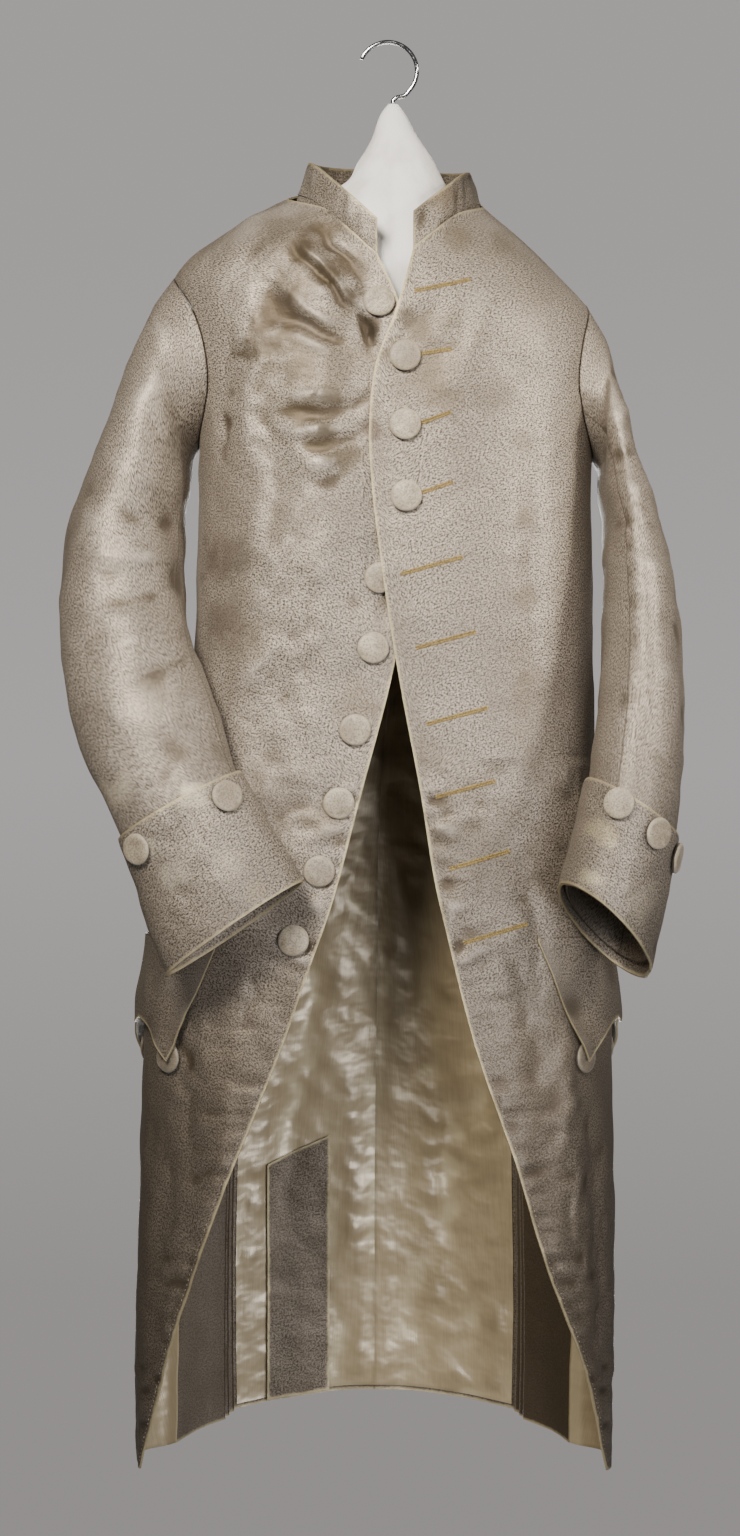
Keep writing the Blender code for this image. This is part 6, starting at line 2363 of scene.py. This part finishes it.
@dataclass
class Needlework:
    """The stitches along edges and hems, and the worked buttonholes."""

    form: CoatForm
    rows: RowTree
    lift: float = 0.0001

    def sew(self, name: str, lines: list[Line], stitch: Stitch, thread: Material) -> Object:
        """Lays stitches along lines.

        Args:
            name: the piece's name.
            lines: where the stitches go.
            stitch: their kind.
            thread: their material.

        Returns:
            The piece, as a plain mesh.
        """
        points = np.concatenate([line.points for line in lines])
        ends = np.cumsum([len(line.points) for line in lines])
        edges = [(n, n + 1) for n in range(len(points) - 1) if n + 1 not in ends]
        mesh = bpy.data.meshes.new(f"{name}_line")
        mesh.from_pydata(points.tolist(), edges, [])
        out = np.concatenate([line.out for line in lines])
        mesh.attributes.new("out", "FLOAT_VECTOR", "POINT").data.foreach_set("vector", np.ravel(out))
        guide = place_object(f"{name}_line", mesh)
        modifier = guide.modifiers.new("stitches", "NODES")
        modifier.node_group = self.rows.tree
        for label, value in {**asdict(stitch), "thread": thread}.items():
            modifier[self.rows.ids[label.title()]] = value
        graph = bpy.context.evaluated_depsgraph_get()
        sewn = bpy.data.meshes.new_from_object(guide.evaluated_get(graph))
        bpy.data.objects.remove(guide, do_unlink=True)
        sewn.name = name
        sewn.shade_smooth()
        made = place_object(name, sewn)
        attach(made, "root")
        log.info("%s: %d faces", name, len(sewn.polygons))
        return made

    def on_body(self, side: Side, girths: np.ndarray, heights: np.ndarray) -> Line:
        """A line on the body's cloth, through places close together."""
        points = self.form.cloth_point(side, girths, heights)
        out = self.form.body.normal(girths, heights)
        return Line(points + out * self.lift, out)

    def edge_line(self, side: Side, inset: float) -> Line:
        """Follows a front edge down.

        Args:
            side: the wearer's side.
            inset: how far inside the edge to go.

        Returns:
            The line.
        """
        corner = NECKS[side].corner_height
        heights = np.linspace(corner - 0.004, FRONT_HEM + 0.008, 520)
        girths = np.array([self.form.edge_girth(side, height) for height in heights])
        spans = np.array([float(self.form.body.half_girth(side, height)) for height in heights])
        return self.on_body(side, girths + side * inset / spans, heights)

    def hem_line(self, side: Side, rise: float) -> Line:
        """Follows a front skirt's hem.

        Args:
            side: the wearer's side.
            rise: how far above the hem to go.

        Returns:
            The line.
        """
        start = self.form.edge_girth(side, FRONT_HEM + rise)
        stack = self.form.stack_width(FRONT_HEM) / self.form.body.half_girth(side, FRONT_HEM)
        seam = side * (self.form.side_back("girth", FRONT_HEM) - stack)
        girths = np.linspace(start + side * 0.01, seam - side * 0.01, 160)
        return self.on_body(side, girths, self.form.row_height(girths, 0.0) + rise)

    def hole(self, x0: float, z0: float, x1: float, z1: float) -> tuple[list[Line], Line]:
        """Works out one buttonhole's lines.

        Args:
            x0: the X of its end at the front edge.
            z0: the Z there.
            x1: the X of its inner end.
            z1: the Z there.

        Returns:
            Its two long bars, and its end bar.
        """
        way = np.array([x1 - x0, z1 - z0])
        length = float(np.hypot(*way))
        across = np.array([-way[1], way[0]]) / length * 0.0009
        lines = []
        for turn in (-1, 1):
            ends = np.array([(x0, z0), (x1, z1)]) + across * turn
            lines.append(self.seen_line(ends, 40))
        return lines, self.seen_line(np.array([(x1, z1) - across * 1.5, (x1, z1) + across * 1.5]), 8)

    def seen_line(self, ends: np.ndarray, count: int) -> Line:
        """A line on the left front between two (x, z) places."""
        places, body = np.linspace(ends[0], ends[1], count), self.form.body
        girths = np.array([body.girth_at(x - float(body.middle(z)), z) for x, z in places])
        return self.on_body(Side.LEFT, girths, places[:, 1])

    def cut_threads(self) -> list[Line]:
        """Works out what is left of the lost button on the right cuff.

        Returns:
            Two short crossed lines of thread.
        """
        at, out = Buttons(self.form).on_cuff(Side.RIGHT, math.radians(LOST_BUTTON[0]), LOST_BUTTON[1])
        lines = []
        for way in ((0.0024, 0.0, 0.0012), (0.0008, 0.0, -0.0026)):
            points = at + out * self.lift + np.linspace(-1, 1, 4)[:, None] * np.array(way)
            lines.append(Line(points, np.tile(out, (4, 1))))
        return lines

    def dress(self) -> None:
        """Sews the edges, the hems, the buttonholes and the threads of the lost button."""
        gold = Twist("gold_silk_twist", "#9C8442", "#5E4C20").build()
        thread = Twist("taupe_silk_thread", "#A5998A", "#6E6253").build()
        for side in Side:
            word = side.word
            edge = self.sew(f"edge_stitches_{word}", [self.edge_line(side, 0.0042)], PRICK, thread)
            hem = self.sew(f"hem_stitches_{word}", [self.hem_line(side, 0.010)], SLIP, thread)
        bars = []
        for row in BUTTONHOLES:
            lines, end = self.hole(*row)
            bars += [*lines, end]
        self.sew("buttonhole_bars", bars, BAR, gold)
        self.sew("lost_button_threads", self.cut_threads(), WHIP, thread)


BUTTONHOLES = (  # from the front edge to the inner end, as x, z and x, z
    (0.0217, -0.2224, 0.0669, -0.2122),
    (0.0258, -0.2749, 0.0512, -0.2707),
    (0.0258, -0.3323, 0.0504, -0.3232),
    (0.0258, -0.3898, 0.0521, -0.3807),
    (0.0102, -0.4564, 0.0602, -0.4424),
    (0.0225, -0.5170, 0.0709, -0.5038),
    (0.0315, -0.5793, 0.0808, -0.5661),
    (0.0389, -0.6392, 0.0875, -0.6261),
    (0.0503, -0.6982, 0.0998, -0.6836),
    (0.0618, -0.7589, 0.1139, -0.7437),
)


# ---------------------------------------------------------------- studio


@dataclass(frozen=True)
class Lamp:
    """A square soft light: where it stands, what it faces, its side, power in watts and spread in degrees."""

    name: str
    place: tuple[float, float, float]
    at: tuple[float, float, float]
    size: float
    power: float
    spread: float
    colour: str


LAMPS = (
    Lamp("key", (-0.66, -1.80, 0.66), (-0.02, 0.0, -0.34), 0.7, 8.5, 50.0, "#FFF8EF"),
    Lamp("fill", (0.7, -2.2, -0.75), (0.0, 0.0, -1.08), 0.8, 3.4, 44.0, "#F6F7FF"),
    Lamp("side", (1.7, -1.2, 0.30), (0.29, 0.0, -0.38), 0.5, 1.8, 24.0, "#FFF8EF"),
    Lamp("low", (0.0, 1.3, -1.48), (0.0, -0.05, -1.05), 0.8, 8.0, 90.0, "#FFFFFF"),
    Lamp("behind", (0.0, 3.1, -0.8), (0.0, 0.0, -0.65), 1.2, 12.0, 80.0, "#FFFFFF"),
)


@dataclass
class Studio:
    """A round pale floor in a plain grey room, soft lights and the camera."""

    distance: float = 3.4
    height: float = -0.6154
    across: float = -0.0153
    lens: float = 93.75
    sensor: float = 36.0
    floor: float = -1.62
    floor_radius: float = 1.6
    ambient: float = 0.085
    cast: str = "#D6D7DA"  # the even light's colour
    horizon: float = 0.32  # how far up and down the seen grey changes
    room: tuple[tuple[float, str], ...] = (
        (0.0, "#959190"), (0.30, "#989493"), (0.50, "#B3AFAE"), (0.70, "#ABA7A6"),
    )

    def lay_floor(self) -> None:
        """Makes the floor, a round sheet of paper."""
        radius = self.floor_radius
        points = [(radius * math.cos(turn), radius * math.sin(turn), self.floor) for turn in turns(96)]
        mesh = bpy.data.meshes.new("paper_floor")
        mesh.from_pydata(points, [], [range(len(points))])
        mesh.materials.append(StudioPaper().build())
        place_object("paper_floor", mesh)

    def paint_room(self) -> None:
        """Makes the room: a grey that is seen, and a weaker even light that falls from it."""
        world = bpy.data.worlds.new("soft_room")
        world.use_nodes = True
        tree = world.node_tree
        seen = tree.nodes["Background"]
        cast = add_node(tree, "ShaderNodeBackground", None, {"Color": self.cast, "Strength": self.ambient})
        way = add_node(tree, "ShaderNodeTexCoord").outputs["Generated"]
        level = add_node(tree, "ShaderNodeSeparateXYZ", None, {0: way}).outputs["Z"]
        heights = {"Value": level, "From Min": -self.horizon, "From Max": self.horizon}
        share = add_node(tree, "ShaderNodeMapRange", None, heights).outputs[0]
        ramp = add_node(tree, "ShaderNodeValToRGB", None, {0: share})
        marks = ramp.color_ramp.elements
        for number, (place, colour) in enumerate(self.room):
            mark = marks[number] if number < 2 else marks.new(place)
            mark.position, mark.color = place, linear(colour)
        set_inputs(tree, seen, {"Color": ramp.outputs[0]})
        first = add_node(tree, "ShaderNodeLightPath").outputs["Is Camera Ray"]
        inputs = {0: first, 1: cast.outputs[0], 2: seen.outputs[0]}
        mixed = add_node(tree, "ShaderNodeMixShader", None, inputs).outputs[0]
        set_inputs(tree, tree.nodes["World Output"], {0: mixed})
        bpy.context.scene.world = world

    def add_light(self, lamp: Lamp) -> None:
        """Adds a square soft light.

        Args:
            lamp: its place, size, power and colour.
        """
        data = bpy.data.lights.new(lamp.name, "AREA")
        data.shape, data.size, data.energy = "SQUARE", lamp.size, lamp.power
        data.spread = math.radians(lamp.spread)
        data.color = linear(lamp.colour)[:3]
        made = place_object(lamp.name, data)
        made.location = lamp.place
        made.rotation_euler = (Vector(lamp.at) - Vector(lamp.place)).to_track_quat("-Z", "Y").to_euler()

    def set_up(self) -> None:
        """Makes the camera, the lights, the floor and the room."""
        data = bpy.data.cameras.new("camera")
        data.sensor_width, data.lens = self.sensor, self.lens
        camera = place_object("camera", data)
        camera.location = (self.across, -self.distance, self.height)
        camera.rotation_euler = (math.radians(90), 0, 0)
        bpy.context.scene.camera = camera
        self.lay_floor()
        self.paint_room()
        for lamp in LAMPS:
            self.add_light(lamp)


def main() -> None:
    """Builds the coat's pieces, dresses them and sets up the studio."""
    logging.basicConfig(level=logging.INFO, format="%(name)s: %(message)s")
    Studio().set_up()
    finishes = {
        Slot.SILK: WovenSilk().build(),
        Slot.SATIN: LiningSatin().build(),
        Slot.BUTTON: ButtonSilk().build(),
        Slot.MUSLIN: Muslin().build(),
        Slot.STEEL: ChromedWire().build(),
    }
    dresser = Dresser(finishes)
    form = CoatForm(Rings(BODY))
    Hanger().dress(dresser)
    BodyPanels(form).dress(dresser)
    Collar(form).dress(dresser)
    Sleeves(form).dress(dresser)
    Flaps(form).dress(dresser)
    Buttons(form).dress(dresser)
    Needlework(form, RowTree()).dress()


if __name__ == "__main__":
    main()
